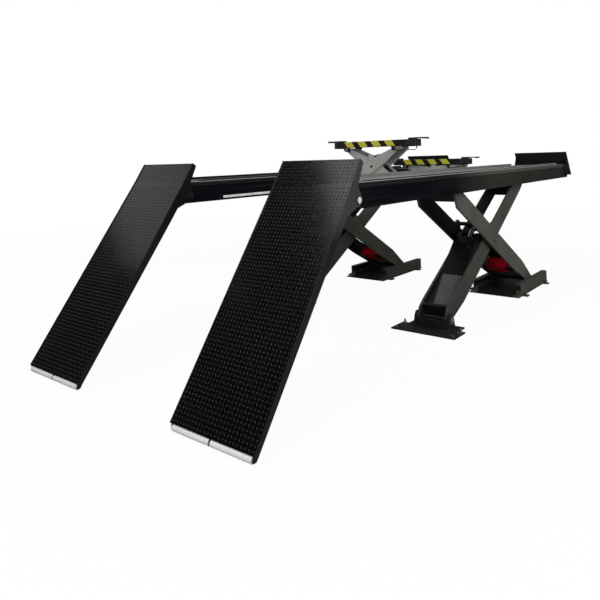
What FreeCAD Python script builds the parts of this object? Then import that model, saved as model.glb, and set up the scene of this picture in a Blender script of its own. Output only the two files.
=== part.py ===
"""Scissor alignment lift: two hinged ramps, two runways on scissor legs, two jacks between them.

Millimetres, +Z up, +X to the right runway, +Y from the ramps to the wheel stops.
The origin is on the floor, under the middle of the whole lift.
Every size is a cell of the sheet, and every shape is bound to those cells.
"""
import FreeCAD, Part
import math
import os
import Sketcher

SIZES = {
    # Runways: folded deck plates with a sloping band along each side
    "runway_length": 5020, "runway_width": 610, "runway_gap": 1012,
    "deck_thickness": 8, "skirt_thickness": 6, "skirt_ledge": 3, "side_height": 190,
    "curb_height": 25, "curb_width": 20, "band_height": 55, "band_slope": 16,
    "curb_front": 121, "curb_ramp": 105, "curb_setback": 420,
    "nose_reach": 62, "nose_step": 25, "nose_drop": 23, "nose_ease": 6,
    "corner_cut": 20, "tail_cut": 22,
    "rib_depth": 35, "rib_thickness": 8, "rib_count": 12,
    # Rails on the inner skirts, for the jacks
    "rail_height": 19, "rail_width": 22, "rail_drop": 127, "rail_front": 430, "rail_setback": 460,
    "rail_stop_length": 50, "rail_stop_height": 42,
    # Recesses in the deck
    "pan_depth": 30, "pan_floor": 6, "pan_wall": 6,
    "turn_setback": 810, "turn_end_gap": 45, "turn_side_gap": 35,
    "turn_margin": 90, "turn_thickness": 14, "turn_sink": 2, "turn_bed_inset": 35,
    "turn_rim": 24, "turn_stud_radius": 24,
    "slip_front": 960, "slip_length": 1200, "slip_margin": 70, "slip_travel": 32,
    "slip_thickness": 14, "slip_sink": 2, "slip_slot_length": 120, "slip_slot_width": 22,
    "band_hole": 11, "band_hole_drop": 12, "band_hole_depth": 12,
    "band_slot_front": 2200, "band_slot_length": 200, "band_slot_low": 20, "band_slot_high": 8,
    "band_slot_depth": 5,
    # Scissor legs
    "rest_angle": 29.25, "low_angle": 3.5, "high_angle": 40,
    "leg_half": 1163.5, "leg_depth": 88, "hub_radius": 45, "slim_hub": 38, "leg_taper": 340,
    "leg_step": 122, "upper_taper": 289, "outer_low_end": 581.5,
    "foot_pin_height": 85, "head_pin_drop": 124, "front_pin": 1695,
    "leg_inset": 110, "outer_plate": 22, "leg_nest": 58, "inner_wall": 20,
    "web_thickness": 12, "fork_start": 150, "fork_setback": 223.5, "head_box_setback": 88.5,
    "foot_plate_setback": 83.5, "foot_plate_thickness": 24, "pivot_tube": 44,
    "neck_inner": 63.5, "neck_outer": 115.5, "neck_start": 223.5, "neck_rise": 8, "neck_low": 84,
    "outer_box_reach": 243.5, "outer_box_setback": 105.5, "outer_box_low": 18,
    "outer_box_high": 76,
    "tie_reach": 203.5, "tie_setback": 113.5, "tie_low": 48, "tie_high": 20,
    "shelf_start": 590, "shelf_end": 770, "shelf_thickness": 8,
    "crank_radius": 150, "crank_lead": 47, "crank_shaft": 20, "crank_lobe": 37, "crank_root": 63,
    # Pins, shafts and slide blocks
    "pin_radius": 22, "pin_clearance": 0.05, "pin_head_radius": 34, "pin_head": 8,
    "slide_length": 90, "slide_half_height": 34, "slide_width": 44, "slide_gap": 12,
    "slide_clearance": 0.3, "slide_chamfer": 8, "track_wall": 8, "track_lip": 6.5,
    "track_side_gap": 3, "track_margin": 30, "lug_gap": 3, "lug_thickness": 22, "lug_foot": 90,
    "lug_flat": 24, "lug_drop": 40,
    # Floor bases
    "base_thickness": 12, "front_base_front": 239, "front_base_rear": 105, "front_base_side": 40,
    "front_tab_side": 101, "front_tab_rear": 22, "bracket_gap": 4, "bracket_thickness": 22,
    "bracket_foot": 78, "bracket_shoulder": 50, "bracket_top": 28, "bracket_rise": 15,
    "rear_base_front": 1405, "rear_base_side": 6, "rear_tab_side": 60, "rear_tab_length": 70,
    "rear_tab_inset": 110, "rear_rail_inset": 100, "anchor_radius": 9, "anchor_inset": 32,
    "anchor_front": 40, "anchor_pitch": 100,
    "bolt_radius": 8, "bolt_height": 34, "bolt_setback": 20, "nut_radius": 12,
    "washer_radius": 16, "washer_thickness": 3, "nut_thickness": 13,
    # Lock box, cylinder and its cover
    "box_side_gap": 11, "box_start": 600, "box_end": 756, "box_high": 52, "box_cut": 34,
    "box_slope": 54,
    "ram_setback": 263.5, "ram_drop": 35, "ram_tilt": 10.8, "ram_pin": 18, "ram_eye": 34,
    "ram_eye_half": 34, "barrel_radius": 45, "barrel_start": 40, "barrel_length": 560,
    "gland_radius": 51, "gland_length": 46, "rod_radius": 25, "rod_start": 470, "bore_start": 330,
    "saddle_gap": 0.85, "saddle_thickness": 26, "saddle_relief": 17, "saddle_half_height": 52,
    "saddle_half_width": 55,
    "cover_setback": 101.5, "cover_length": 412, "cover_height": 66, "cover_thickness": 4,
    "cover_fall": 22, "cover_skirt": 26,
    # Approach ramps
    "ramp_pin_setback": 62, "ramp_pin_drop": 105, "ramp_angle": 54.16, "ramp_offset": 114.7,
    "ramp_plate": 5, "ramp_overlap": 22, "ramp_crease": 46, "ramp_top": 235, "ramp_flap_rise": 6,
    "ramp_tip": 1552, "ramp_side": 6, "ramp_lip": 6, "ramp_side_depth": 62, "ramp_tip_depth": 30,
    "ramp_lug_radius": 42, "ramp_lug_front": 150, "ramp_lug_rear": 70, "ramp_side_step": 240,
    "ramp_rib_depth": 40, "ramp_rib_thickness": 6, "ramp_rib_pitch": 390, "ramp_rib_count": 4,
    "ramp_rib_first": 215,
    "roller_radius": 20, "roller_reach": 1565, "roller_height": 92, "roller_bracket": 12,
    "roller_bracket_depth": 60, "roller_bracket_radius": 14, "roller_shaft": 8, "roller_gap": 2,
    "hinge_pin": 15, "hinge_cap": 25, "hinge_inner": 30,
    # Far wheel stops
    "stop_setback": 141, "stop_drop": 88, "stop_angle": 33.9, "stop_offset": 168,
    "stop_plate": 5, "stop_low": 171, "stop_high": 188, "stop_overlap": 23, "stop_arm": 6,
    "stop_hub": 44, "stop_arm_half": 118, "stop_notch_width": 14, "stop_notch_depth": 7,
    # Rolling jacks
    "front_jack_place": 2150, "rear_jack_place": 3400,
    "front_jack_angle": 30.8, "rear_jack_angle": 12.1,
    "jack_arm": 698.6, "jack_arm_depth": 56, "jack_hub": 22, "jack_plate": 12,
    "jack_a_inner": 92, "jack_b_inner": 76, "jack_pin": 14, "jack_pin_end": 124,
    "jack_pivot": 16, "jack_anchor": 300, "jack_pin_drop": 109, "jack_lobe_reach": 106,
    "jack_lobe_lead": 65.2, "jack_lobe": 24, "jack_crank": 10, "jack_taper": 110, "jack_lobe_root": 48,
    "tray_half": 120, "tray_wall": 6, "tray_top": 80, "tray_bottom": 162, "tray_end": 470,
    "slot_start": 280, "slot_end": 402, "slot_clearance": 0.3,
    "claw_gap": 0.3, "claw_thickness": 12, "claw_half": 110, "claw_skirt_gap": 3,
    "beam_half": 412, "beam_wall": 6, "beam_low": 22, "beam_high": 82, "beam_half_width": 114,
    "beam_plate": 5, "beam_open": 128, "ear_low": 22, "ear_slope": 18, "ear_left": 330,
    "ear_left_inner": 262, "ear_right_inner": 255,
    "arm_inner": 132, "arm_wall": 8, "arm_clearance": 0.3,
    "block_start": 414, "block_end": 486, "block_half": 60, "block_low": 14, "block_high": 84,
    "post_radius": 24, "pad_centre": 490, "pad_half": 80, "pad_half_width": 52, "pad_low": 88,
    "pad_thickness": 11, "jack_ram_seat": 255, "jack_ram_tilt": 17.5, "jack_ram_pin": 9,
    "jack_ram_eye": 16, "jack_ram_eye_half": 18, "jack_barrel_radius": 22,
    "jack_barrel_start": 20, "jack_barrel_length": 150, "jack_rod_radius": 11,
    "jack_rod_length": 200, "jack_bore_start": 44, "jack_saddle_gap": 0.95,
    "jack_saddle": 8, "jack_saddle_half": 24, "jack_saddle_half_width": 30,
    # One overrun for every cut
    "overrun": 5,
}

# Corners round a hub, lobe or bracket, in shares of its radius
INNER_FOOT_SHARES = ((0.6, 1.75), (-0.7, 0.75), (-1, 0), (-0.86, -0.5), (-0.25, -1), (0.55, -1))
INNER_HEAD_SHARES = ((-0.6, -1.75), (0.82, -0.6), (1, 0), (0.7, 0.75), (-0.1, 1))
OUTER_HEAD_SHARES = ((2.7, 1.9), (0.3, 1), (-0.6, 0.75), (-1, 0), (-0.7, -0.72), (0, -1), (0.8, -0.6))
OUTER_FOOT_SHARES = ((-1, -1.17), (0.3, -1), (0.9, -0.45), (1, 0.25), (0.55, 0.85))
CRANK_LOBE_SHARES = ((0.9, 0.45), (0.4, 1), (-0.4, 1), (-0.9, 0.45))
RAMP_LUG_SHARES = ((-1, -0.35), (-0.55, -0.85), (0.55, -0.85), (1, -0.35))
ROLLER_BRACKET_SHARES = ((-0.6, 0.6), (-1, 0), (0, -1))
STOP_HUB_SHARES = ((0.6, 1), (-0.4, 1), (-1, 0.4), (-1, -0.4), (-0.4, -1), (0.6, -1))
ARM_END_SHARES = ((-0.3, -1), (0.7, -0.7), (1, 0), (0.7, 0.7), (-0.3, 1))
JACK_LOBE_SHARES = ((1, 0), (0.6, 0.8), (-0.6, 0.8), (-1, 0))
# Places along a slip plate, in shares of its length
SLIP_BAR_SHARES = (0.1, 0.34, 0.58, 0.86)
SLIP_SLOT_SHARES = (0.04, 0.94)

doc = FreeCAD.newDocument("AlignmentLift")
sheet = doc.addObject("Spreadsheet::Sheet", "Sizes")
NODES = []


class Size:
    """A number together with the sheet formula that gives it."""

    def __init__(self, number, text):
        self.number = float(number)
        self.text = text

    def __add__(self, other):
        other = as_size(other)
        return Size(self.number + other.number, f"({self.text} + {other.text})")

    def __sub__(self, other):
        other = as_size(other)
        return Size(self.number - other.number, f"({self.text} - {other.text})")

    def __mul__(self, other):
        other = as_size(other)
        return Size(self.number * other.number, f"({self.text} * {other.text})")

    def __truediv__(self, other):
        other = as_size(other)
        return Size(self.number / other.number, f"({self.text} / {other.text})")

    def __neg__(self):
        return Size(-self.number, f"(-1 * {self.text})")

    __rmul__ = __mul__


class SizeSheet:
    """Fills the spreadsheet and hands out each cell as a Size."""

    def __init__(self, table):
        for row, (alias, value) in enumerate(table.items(), 1):
            sheet.set(f"A{row}", alias)
            sheet.set(f"B{row}", str(value))
            sheet.setAlias(f"B{row}", alias)
            setattr(self, alias, Size(value, f"Sizes.{alias}"))


def as_size(value):
    return value if isinstance(value, Size) else Size(value, repr(value))


def cosine(angle):
    return Size(math.cos(math.radians(angle.number)), f"cos({angle.text} * 1 deg)")


def sine(angle):
    return Size(math.sin(math.radians(angle.number)), f"sin({angle.text} * 1 deg)")


ZERO = Size(0, "0")
s = SizeSheet(SIZES)

# Places that several pieces share
RUNWAY_X = (s.runway_gap + s.runway_width) / 2
RUN = s.leg_half * cosine(s.rest_angle)
RISE = s.leg_half * sine(s.rest_angle)
CENTRE_Y = s.front_pin + RUN
CENTRE_Z = s.foot_pin_height + RISE
DECK_Z = s.foot_pin_height + 2 * RISE + s.head_pin_drop
SKIRT_DROP = s.side_height - s.curb_height
RAIL_REAR = s.runway_length - s.rail_setback
TURN_CENTRE = s.runway_length - s.turn_setback
RAM_SEAT = s.leg_half - s.ram_setback
RAMP_HALF = s.runway_width / 2 + s.ramp_overlap
STOP_HALF = s.runway_width / 2 + s.stop_overlap
SKIRT_OUT = s.runway_width / 2 - s.skirt_ledge
SKIRT_IN = SKIRT_OUT - s.skirt_thickness
OUTER_HALF = s.runway_width / 2 - s.leg_inset
INNER_HALF = OUTER_HALF - s.leg_nest
OUTER_IN = OUTER_HALF - s.outer_plate
INNER_IN = INNER_HALF - s.inner_wall
SLIP_HALF = s.runway_width / 2 - s.slip_margin
TURN_RADIUS = s.runway_width / 2 - s.turn_margin
SLIDE_IN = OUTER_HALF + s.slide_gap
SLIDE_OUT = SLIDE_IN + s.slide_width
TRACK_WALL_IN = SLIDE_OUT + s.track_side_gap
TRACK_OUT = TRACK_WALL_IN + s.track_wall
FRONT_BASE_HALF = OUTER_HALF + s.front_base_side
FRONT_TAB_HALF = OUTER_HALF + s.front_tab_side
REAR_BASE_HALF = TRACK_OUT + s.rear_base_side
REAR_TAB_HALF = TRACK_OUT + s.rear_tab_side
BOX_HALF = INNER_IN - s.box_side_gap
TRACK_FRONT = 2 * s.leg_half * cosine(s.high_angle) - s.slide_length / 2 - s.track_margin
TRACK_REAR = 2 * s.leg_half * cosine(s.low_angle) + s.slide_length / 2 + s.track_margin

# The lift's two ends: a ramp roller in front, the wheel stop's lower edge behind
FRONT_REACH = (s.ramp_pin_setback - s.roller_reach * cosine(s.ramp_angle)
               - s.roller_height * sine(s.ramp_angle) - s.roller_radius)
REAR_REACH = (s.runway_length - s.stop_setback + s.stop_offset * cosine(s.stop_angle)
              + s.stop_low * sine(s.stop_angle))
MIDDLE_Y = (FRONT_REACH + REAR_REACH) / 2


def number_of(count):
    return int(round(count.number))


def origin_plane(body, role):
    return [item for item in body.Origin.OriginFeatures if item.Role == role][0]


def new_body(label):
    body = doc.addObject("PartDesign::Body", label)
    body.Label = label
    return body


def circle(across, up, radius):
    return ("circle", across, up, radius)


def pin_vertex(sketch, geometry, point, across, up):
    """Ties one sketch point to its two sheet formulas, measured from the sketch's origin."""
    for kind, value, axis in (("DistanceX", across, -2), ("DistanceY", up, -1)):
        if value.text == "0":
            sketch.addConstraint(Sketcher.Constraint("PointOnObject", geometry, point, axis))
            continue
        row = sketch.addConstraint(Sketcher.Constraint(kind, -1, 1, geometry, point, value.number))
        sketch.setExpression(f"Constraints[{row}]", value.text)


def draw_circle(sketch, loop):
    centre = FreeCAD.Vector(loop[1].number, loop[2].number, 0)
    ring = sketch.addGeometry(Part.Circle(centre, FreeCAD.Vector(0, 0, 1), loop[3].number), False)
    pin_vertex(sketch, ring, 3, loop[1], loop[2])
    row = sketch.addConstraint(Sketcher.Constraint("Radius", ring, loop[3].number))
    sketch.setExpression(f"Constraints[{row}]", loop[3].text)


def draw_polygon(sketch, loop):
    places = [FreeCAD.Vector(across.number, up.number, 0) for across, up in loop]
    count = len(places)
    lines = [Part.LineSegment(places[i], places[(i + 1) % count]) for i in range(count)]
    first = sketch.addGeometry(lines, False)[0]
    for i in range(count):
        follower = first + (i + 1) % count
        sketch.addConstraint(Sketcher.Constraint("Coincident", first + i, 2, follower, 1))
    for i, (across, up) in enumerate(loop):
        pin_vertex(sketch, first + i, 1, across, up)


def new_sketch(body, plane, loops, offset=None):
    """A sketch on an origin plane, or parallel to it at a distance along its normal."""
    sketch = body.newObject("Sketcher::SketchObject", body.Label + "_sketch")
    sketch.AttachmentSupport = [(origin_plane(body, plane), "")]
    sketch.MapMode = "FlatFace"
    if offset is not None:
        sketch.setExpression("AttachmentOffset.Base.z", offset.text)
    for loop in loops:
        if loop[0] == "circle":
            draw_circle(sketch, loop)
        else:
            draw_polygon(sketch, loop)
    return sketch


def feature(body, kind, sketch, length):
    item = body.newObject(kind, body.Label + "_" + kind.split("::")[1].lower())
    item.Profile = sketch
    item.setExpression("Length", length.text)
    return item


def pad(body, plane, loops, start, end):
    """Adds the loops, from start to end along the plane's axis."""
    back = plane == "XZ_Plane"
    sketch = new_sketch(body, plane, loops, -start if back else start)
    item = feature(body, "PartDesign::Pad", sketch, end - start)
    item.Reversed = back
    return item


def cut(body, plane, loops, start, end):
    """Removes the loops, from start to end along the plane's axis."""
    back = plane == "XZ_Plane"
    sketch = new_sketch(body, plane, loops, -start if back else start)
    item = feature(body, "PartDesign::Pocket", sketch, end - start)
    item.Reversed = not back
    return item


def pad_across(body, plane, loops, width):
    item = feature(body, "PartDesign::Pad", new_sketch(body, plane, loops), width)
    item.SideType = "Symmetric"
    return item


def cut_across(body, plane, loops, width):
    item = feature(body, "PartDesign::Pocket", new_sketch(body, plane, loops), width)
    item.SideType = "Symmetric"
    return item


def mirror(body, items, role="YZ_Plane"):
    copy = body.newObject("PartDesign::Mirrored", body.Label + "_mirror")
    copy.Originals = items
    copy.MirrorPlane = (origin_plane(body, role), [""])
    body.Tip = copy
    return copy


def turned(label, start, steps, plane="XY_Plane"):
    """A turned piece: steps of (length, radius) along X, or along Y on the YZ plane."""
    body = new_body(label)
    along = start
    outline = [(along, ZERO)]
    for length, radius in steps:
        outline.append((along, radius))
        along = along + length
        outline.append((along, radius))
    outline.append((along, ZERO))
    sketch = new_sketch(body, plane, [outline])
    spin = body.newObject("PartDesign::Revolution", label + "_turned")
    spin.Profile = sketch
    spin.ReferenceAxis = (sketch, ["H_Axis"])
    spin.Angle = 360
    return body


def place(item, across, along, up, turn=None, axis=FreeCAD.Vector(1, 0, 0)):
    """Sets a piece in the lift's frame, with its place and its turn bound to the sheet."""
    angle = turn.number if turn else 0
    item.Placement = FreeCAD.Placement(FreeCAD.Vector(0, 0, 0), FreeCAD.Rotation(axis, angle))
    item.setExpression("Placement.Base.x", across.text)
    item.setExpression("Placement.Base.y", (along - MIDDLE_Y).text)
    item.setExpression("Placement.Base.z", up.text)
    if turn:
        item.setExpression("Placement.Rotation.Angle", f"{turn.text} * 1 deg")
    return item


def node(item):
    NODES.append(item)
    return item


def group(label, items):
    """Separate solids that share one node."""
    item = doc.addObject("Part::Compound", label)
    item.Label = label
    item.Links = items
    return node(item)


def box(left, right, low, high):
    return [(left, low), (right, low), (right, high), (left, high)]


def around(shares, along, up, radius):
    """Corner points at shares of a radius, around a given point."""
    return [(along + radius * first, up + radius * second) for first, second in shares]


def both_sides(points):
    """A closed outline from its right half, listed from one end of the middle line to the other."""
    return points + [(-across, up) for across, up in reversed(points)]


def on_leg(along, up, turn):
    """A point given along and square to a leg, as Y and Z offsets from its middle pin."""
    return (along * cosine(turn) - up * sine(turn), along * sine(turn) + up * cosine(turn))


# Runways


def runway_profile():
    half = s.runway_width / 2
    band = s.band_height - s.curb_height
    curb_out = half - s.band_slope
    curb_in = curb_out - s.curb_width
    return both_sides([
        (SKIRT_IN, -s.deck_thickness), (SKIRT_IN, -SKIRT_DROP), (SKIRT_OUT, -SKIRT_DROP),
        (SKIRT_OUT, -band), (half, -band), (curb_out, s.curb_height),
        (curb_in, s.curb_height), (curb_in, ZERO)])


def runway_end_cuts():
    """Rounded nose, sloping curb starts, open curb ends and the cut lower corners."""
    over = s.overrun
    top = s.curb_height + over
    far = s.runway_length
    front_top = [(-over, top), (-over, -s.nose_drop), (ZERO, -s.nose_drop),
                 (s.nose_step, -s.nose_ease), (s.nose_reach, ZERO), (s.curb_front, ZERO),
                 (s.curb_front + s.curb_ramp, s.curb_height), (s.curb_front + s.curb_ramp, top)]
    curb = far - s.curb_setback
    rear_top = [(curb, top), (curb, ZERO), (far - s.tail_cut, ZERO),
                (far, -s.tail_cut), (far + over, -s.tail_cut), (far + over, top)]
    front_low = [(-over, s.corner_cut - SKIRT_DROP), (ZERO, s.corner_cut - SKIRT_DROP),
                 (s.corner_cut, -SKIRT_DROP), (s.corner_cut, -SKIRT_DROP - over),
                 (-over, -SKIRT_DROP - over)]
    rear_low = [(far + over, s.corner_cut - SKIRT_DROP), (far, s.corner_cut - SKIRT_DROP),
                (far - s.corner_cut, -SKIRT_DROP), (far - s.corner_cut, -SKIRT_DROP - over),
                (far + over, -SKIRT_DROP - over)]
    return [front_top, rear_top, front_low, rear_low]


def runway_tracks():
    """C-shaped tracks under the deck, one each side, that the upper slide blocks run in."""
    roof = s.slide_half_height + s.slide_clearance - s.head_pin_drop
    floor = -s.head_pin_drop - s.slide_half_height - s.slide_clearance
    right = [(TRACK_WALL_IN, -s.deck_thickness), (TRACK_WALL_IN, roof + s.track_wall),
             (SLIDE_IN, roof + s.track_wall), (SLIDE_IN, roof), (TRACK_WALL_IN, roof),
             (TRACK_WALL_IN, floor), (SLIDE_IN, floor), (SLIDE_IN, floor - s.track_lip),
             (TRACK_OUT, floor - s.track_lip), (TRACK_OUT, -s.deck_thickness)]
    left = [(-across, up) for across, up in right]
    return [right, left]


def head_lug():
    """Hangs from the deck's recess floor, so the slip plate passes over it."""
    low = -s.head_pin_drop - s.lug_drop
    return [(s.front_pin - s.lug_foot, -s.pan_depth),
            (s.front_pin - s.hub_radius, -s.head_pin_drop), (s.front_pin - s.lug_flat, low),
            (s.front_pin + s.lug_flat, low), (s.front_pin + s.hub_radius, -s.head_pin_drop),
            (s.front_pin + s.lug_foot, -s.pan_depth)]


def pan_outlines(grow):
    turn_half = TURN_RADIUS + s.turn_end_gap + grow
    turn_wide = TURN_RADIUS + s.turn_side_gap + grow
    slip_half = SLIP_HALF + s.slip_travel + s.slide_clearance + grow
    slip_end = s.slip_front + s.slip_length
    return [box(-turn_wide, turn_wide, TURN_CENTRE - turn_half, TURN_CENTRE + turn_half),
            box(-slip_half, slip_half, s.slip_front - s.slide_clearance - grow,
                slip_end + s.slide_clearance + grow)]


def runway(side, sign):
    body = new_body("runway_" + side)
    pad(body, "XZ_Plane", [runway_profile()], ZERO, s.runway_length)
    cut_across(body, "YZ_Plane", runway_end_cuts(), s.runway_width + 2 * s.overrun)
    pad(body, "XY_Plane", pan_outlines(s.pan_wall), -s.pan_depth - s.pan_floor, -s.deck_thickness)
    ribs = []
    for count in range(number_of(s.rib_count)):
        middle = RAIL_REAR / s.rib_count * (count + 1)
        ribs.append(box(-SKIRT_IN, SKIRT_IN, middle, middle + s.rib_thickness))
    pad(body, "XY_Plane", ribs, -s.rib_depth, -s.deck_thickness)
    cut(body, "XY_Plane", pan_outlines(ZERO), -s.pan_depth, s.overrun)
    bed_top = -s.turn_sink - s.turn_thickness - s.slide_clearance
    turn_bed = circle(ZERO, TURN_CENTRE, TURN_RADIUS - s.turn_bed_inset)
    pad(body, "XY_Plane", [turn_bed], -s.pan_depth, bed_top)
    slip_bed = -s.slip_sink - s.slip_thickness - s.slide_clearance
    bed_half = SLIP_HALF - s.slip_travel
    bars = [box(-bed_half, bed_half, s.slip_front + s.slip_length * share,
                s.slip_front + s.slip_length * share + s.rail_stop_length)
            for share in SLIP_BAR_SHARES]
    pad(body, "XY_Plane", bars, -s.pan_depth, slip_bed)
    pad(body, "XZ_Plane", runway_tracks(), s.front_pin + TRACK_FRONT, s.front_pin + TRACK_REAR)
    lug_in = OUTER_HALF + s.lug_gap
    lug = pad(body, "YZ_Plane", [head_lug()], lug_in, lug_in + s.lug_thickness)
    mirror(body, [lug])
    rail_stops(body, sign)
    bore = s.pin_radius + s.pin_clearance
    cut_across(body, "YZ_Plane", [circle(s.front_pin, -s.head_pin_drop, bore)],
               2 * (lug_in + s.lug_thickness + s.overrun))
    tail = s.runway_length - s.stop_setback
    cut_across(body, "YZ_Plane", [circle(s.ramp_pin_setback, -s.ramp_pin_drop, s.hinge_pin),
                                  circle(tail, -s.stop_drop, s.hinge_pin)],
               s.runway_width + 2 * s.overrun)
    band_marks(body, sign)
    return node(place(body, sign * RUNWAY_X, ZERO, DECK_Z))


def band_marks(body, sign):
    """A long slot and a round hole in the band of the outer side."""
    slot = box(s.band_slot_front, s.band_slot_front + s.band_slot_length,
               -s.band_slot_low, -s.band_slot_high)
    hole = circle(TURN_CENTRE, -s.band_hole_drop, s.band_hole)
    for loop, depth in ((slot, s.band_slot_depth), (hole, s.band_hole_depth)):
        inner = s.runway_width / 2 - depth
        outer = s.runway_width / 2 + s.overrun
        start, end = (inner, outer) if sign > 0 else (-outer, -inner)
        cut(body, "YZ_Plane", [loop], start, end)


def rail_outline(sign, height, drop):
    inner = -sign * SKIRT_OUT
    outer = -sign * (SKIRT_OUT + s.rail_width)
    return box(inner, outer, -drop - height, -drop)


def rail_stops(body, sign):
    """Blocks at both ends of the jack rail, that keep the jacks on it."""
    raised = s.rail_drop - (s.rail_stop_height - s.rail_height) / 2
    block = rail_outline(sign, s.rail_stop_height, raised)
    pad(body, "XZ_Plane", [block], s.rail_front - s.rail_stop_length, s.rail_front)
    pad(body, "XZ_Plane", [block], RAIL_REAR, RAIL_REAR + s.rail_stop_length)


def jack_rail(side, sign):
    body = new_body("jack_rail_" + side)
    pad(body, "XZ_Plane", [rail_outline(sign, s.rail_height, s.rail_drop)],
        s.rail_front, RAIL_REAR)
    return node(place(body, sign * RUNWAY_X, ZERO, DECK_Z))


def turnplate(side, sign):
    """A round plate on a bearing bed, with a rim and a lifting stud hole in the middle."""
    body = new_body("turnplate_" + side)
    low = -s.turn_sink - s.turn_thickness
    pad(body, "XY_Plane", [circle(ZERO, ZERO, TURN_RADIUS)], low, -s.turn_sink)
    cut(body, "XY_Plane", [circle(ZERO, ZERO, s.turn_stud_radius)], low - s.overrun, s.overrun)
    mid = low + s.turn_thickness / 2
    groove = [circle(ZERO, ZERO, TURN_RADIUS - s.turn_rim),
              circle(ZERO, ZERO, TURN_RADIUS - s.turn_rim - s.ramp_side)]
    cut(body, "XY_Plane", groove, mid, s.overrun)
    return node(place(body, sign * RUNWAY_X, TURN_CENTRE, DECK_Z))


def slip_plate(side, sign):
    body = new_body("slip_plate_" + side)
    low = -s.slip_sink - s.slip_thickness
    length = s.slip_length
    pad(body, "XY_Plane", [box(-SLIP_HALF, SLIP_HALF, ZERO, length)], low, -s.slip_sink)
    slots = []
    for share in SLIP_SLOT_SHARES:
        across = s.slip_slot_length / 2
        slots.append(box(-across, across, length * share, length * share + s.slip_slot_width))
    cut(body, "XY_Plane", slots, low - s.overrun, s.overrun)
    return node(place(body, sign * RUNWAY_X, s.slip_front, DECK_Z))


# Scissor legs, drawn level about their middle pin


def inner_outline():
    """Foot hub in front, then the lower edge, the head hub behind and the upper edge."""
    end = s.leg_half
    deep = s.leg_depth
    return (around(INNER_FOOT_SHARES, -end, ZERO, s.hub_radius)
            + [(s.leg_taper - end, -deep), (end - s.leg_step, -deep)]
            + around(INNER_HEAD_SHARES, end, ZERO, s.hub_radius)
            + [(end - s.leg_taper, deep), (s.leg_step - end, deep)])


def inner_leg(side, sign):
    """A channel open to the top in front, and a fork of two arms behind the middle pin."""
    body = new_body("inner_leg_" + side)
    pad_across(body, "YZ_Plane", [inner_outline()], 2 * INNER_HALF)
    over = s.leg_depth + s.overrun
    past = s.leg_half + s.hub_radius + s.overrun
    foot = s.leg_half - s.foot_plate_setback
    fork = s.leg_half - s.fork_setback
    head = s.leg_half - s.head_box_setback
    channel = [(-foot, over), (-foot, s.web_thickness - s.leg_depth),
               (s.fork_start, s.web_thickness - s.leg_depth), (s.fork_start, -over),
               (fork, -over), (fork, over)]
    head_end = box(head, past, -over, over)
    foot_end = box(-past, -foot - s.foot_plate_thickness, -over, over)
    cut_across(body, "YZ_Plane", [channel, head_end, foot_end], 2 * INNER_IN)
    tubes = [circle(ZERO, ZERO, s.pivot_tube), circle(-RAM_SEAT, -s.ram_drop, s.ram_pin)]
    pad_across(body, "YZ_Plane", tubes, 2 * INNER_IN)
    inside = box(fork + s.outer_plate, head - s.outer_plate, s.outer_plate - s.leg_depth, over)
    cut_across(body, "YZ_Plane", [inside], 2 * (INNER_IN - s.outer_plate))
    bore = s.pin_radius + s.pin_clearance
    cut_across(body, "YZ_Plane", [circle(ZERO, ZERO, bore)], 2 * (INNER_HALF + s.overrun))
    ends = [circle(-s.leg_half, ZERO, s.pin_radius), circle(s.leg_half, ZERO, s.pin_radius)]
    cut_across(body, "YZ_Plane", ends, 2 * (INNER_HALF + s.overrun))
    return node(place(body, sign * RUNWAY_X, CENTRE_Y, CENTRE_Z, s.rest_angle))


def crank_place():
    """The crank shaft's place on the outer leg, ahead of the middle pin and above it."""
    return -s.crank_radius * cosine(s.crank_lead), s.crank_radius * sine(s.crank_lead)


def outer_outline():
    """Head lug in front with its steep neck, the lower edge, the foot hub and the crank lobe."""
    end = s.leg_half
    deep = s.leg_depth
    crank_y, crank_z = crank_place()
    return (around(OUTER_HEAD_SHARES, -end, ZERO, s.slim_hub)
            + [(s.neck_inner - end, -s.neck_rise), (s.neck_outer - end, s.neck_rise),
               (s.neck_start - end, -s.neck_low), (end - s.outer_low_end, -deep)]
            + around(OUTER_FOOT_SHARES, end, ZERO, s.hub_radius)
            + [(end - s.leg_taper, deep), (crank_y + s.crank_root, deep)]
            + around(CRANK_LOBE_SHARES, crank_y, crank_z, s.crank_lobe)
            + [(crank_y - s.crank_root, deep), (s.upper_taper - end, deep)])


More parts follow.
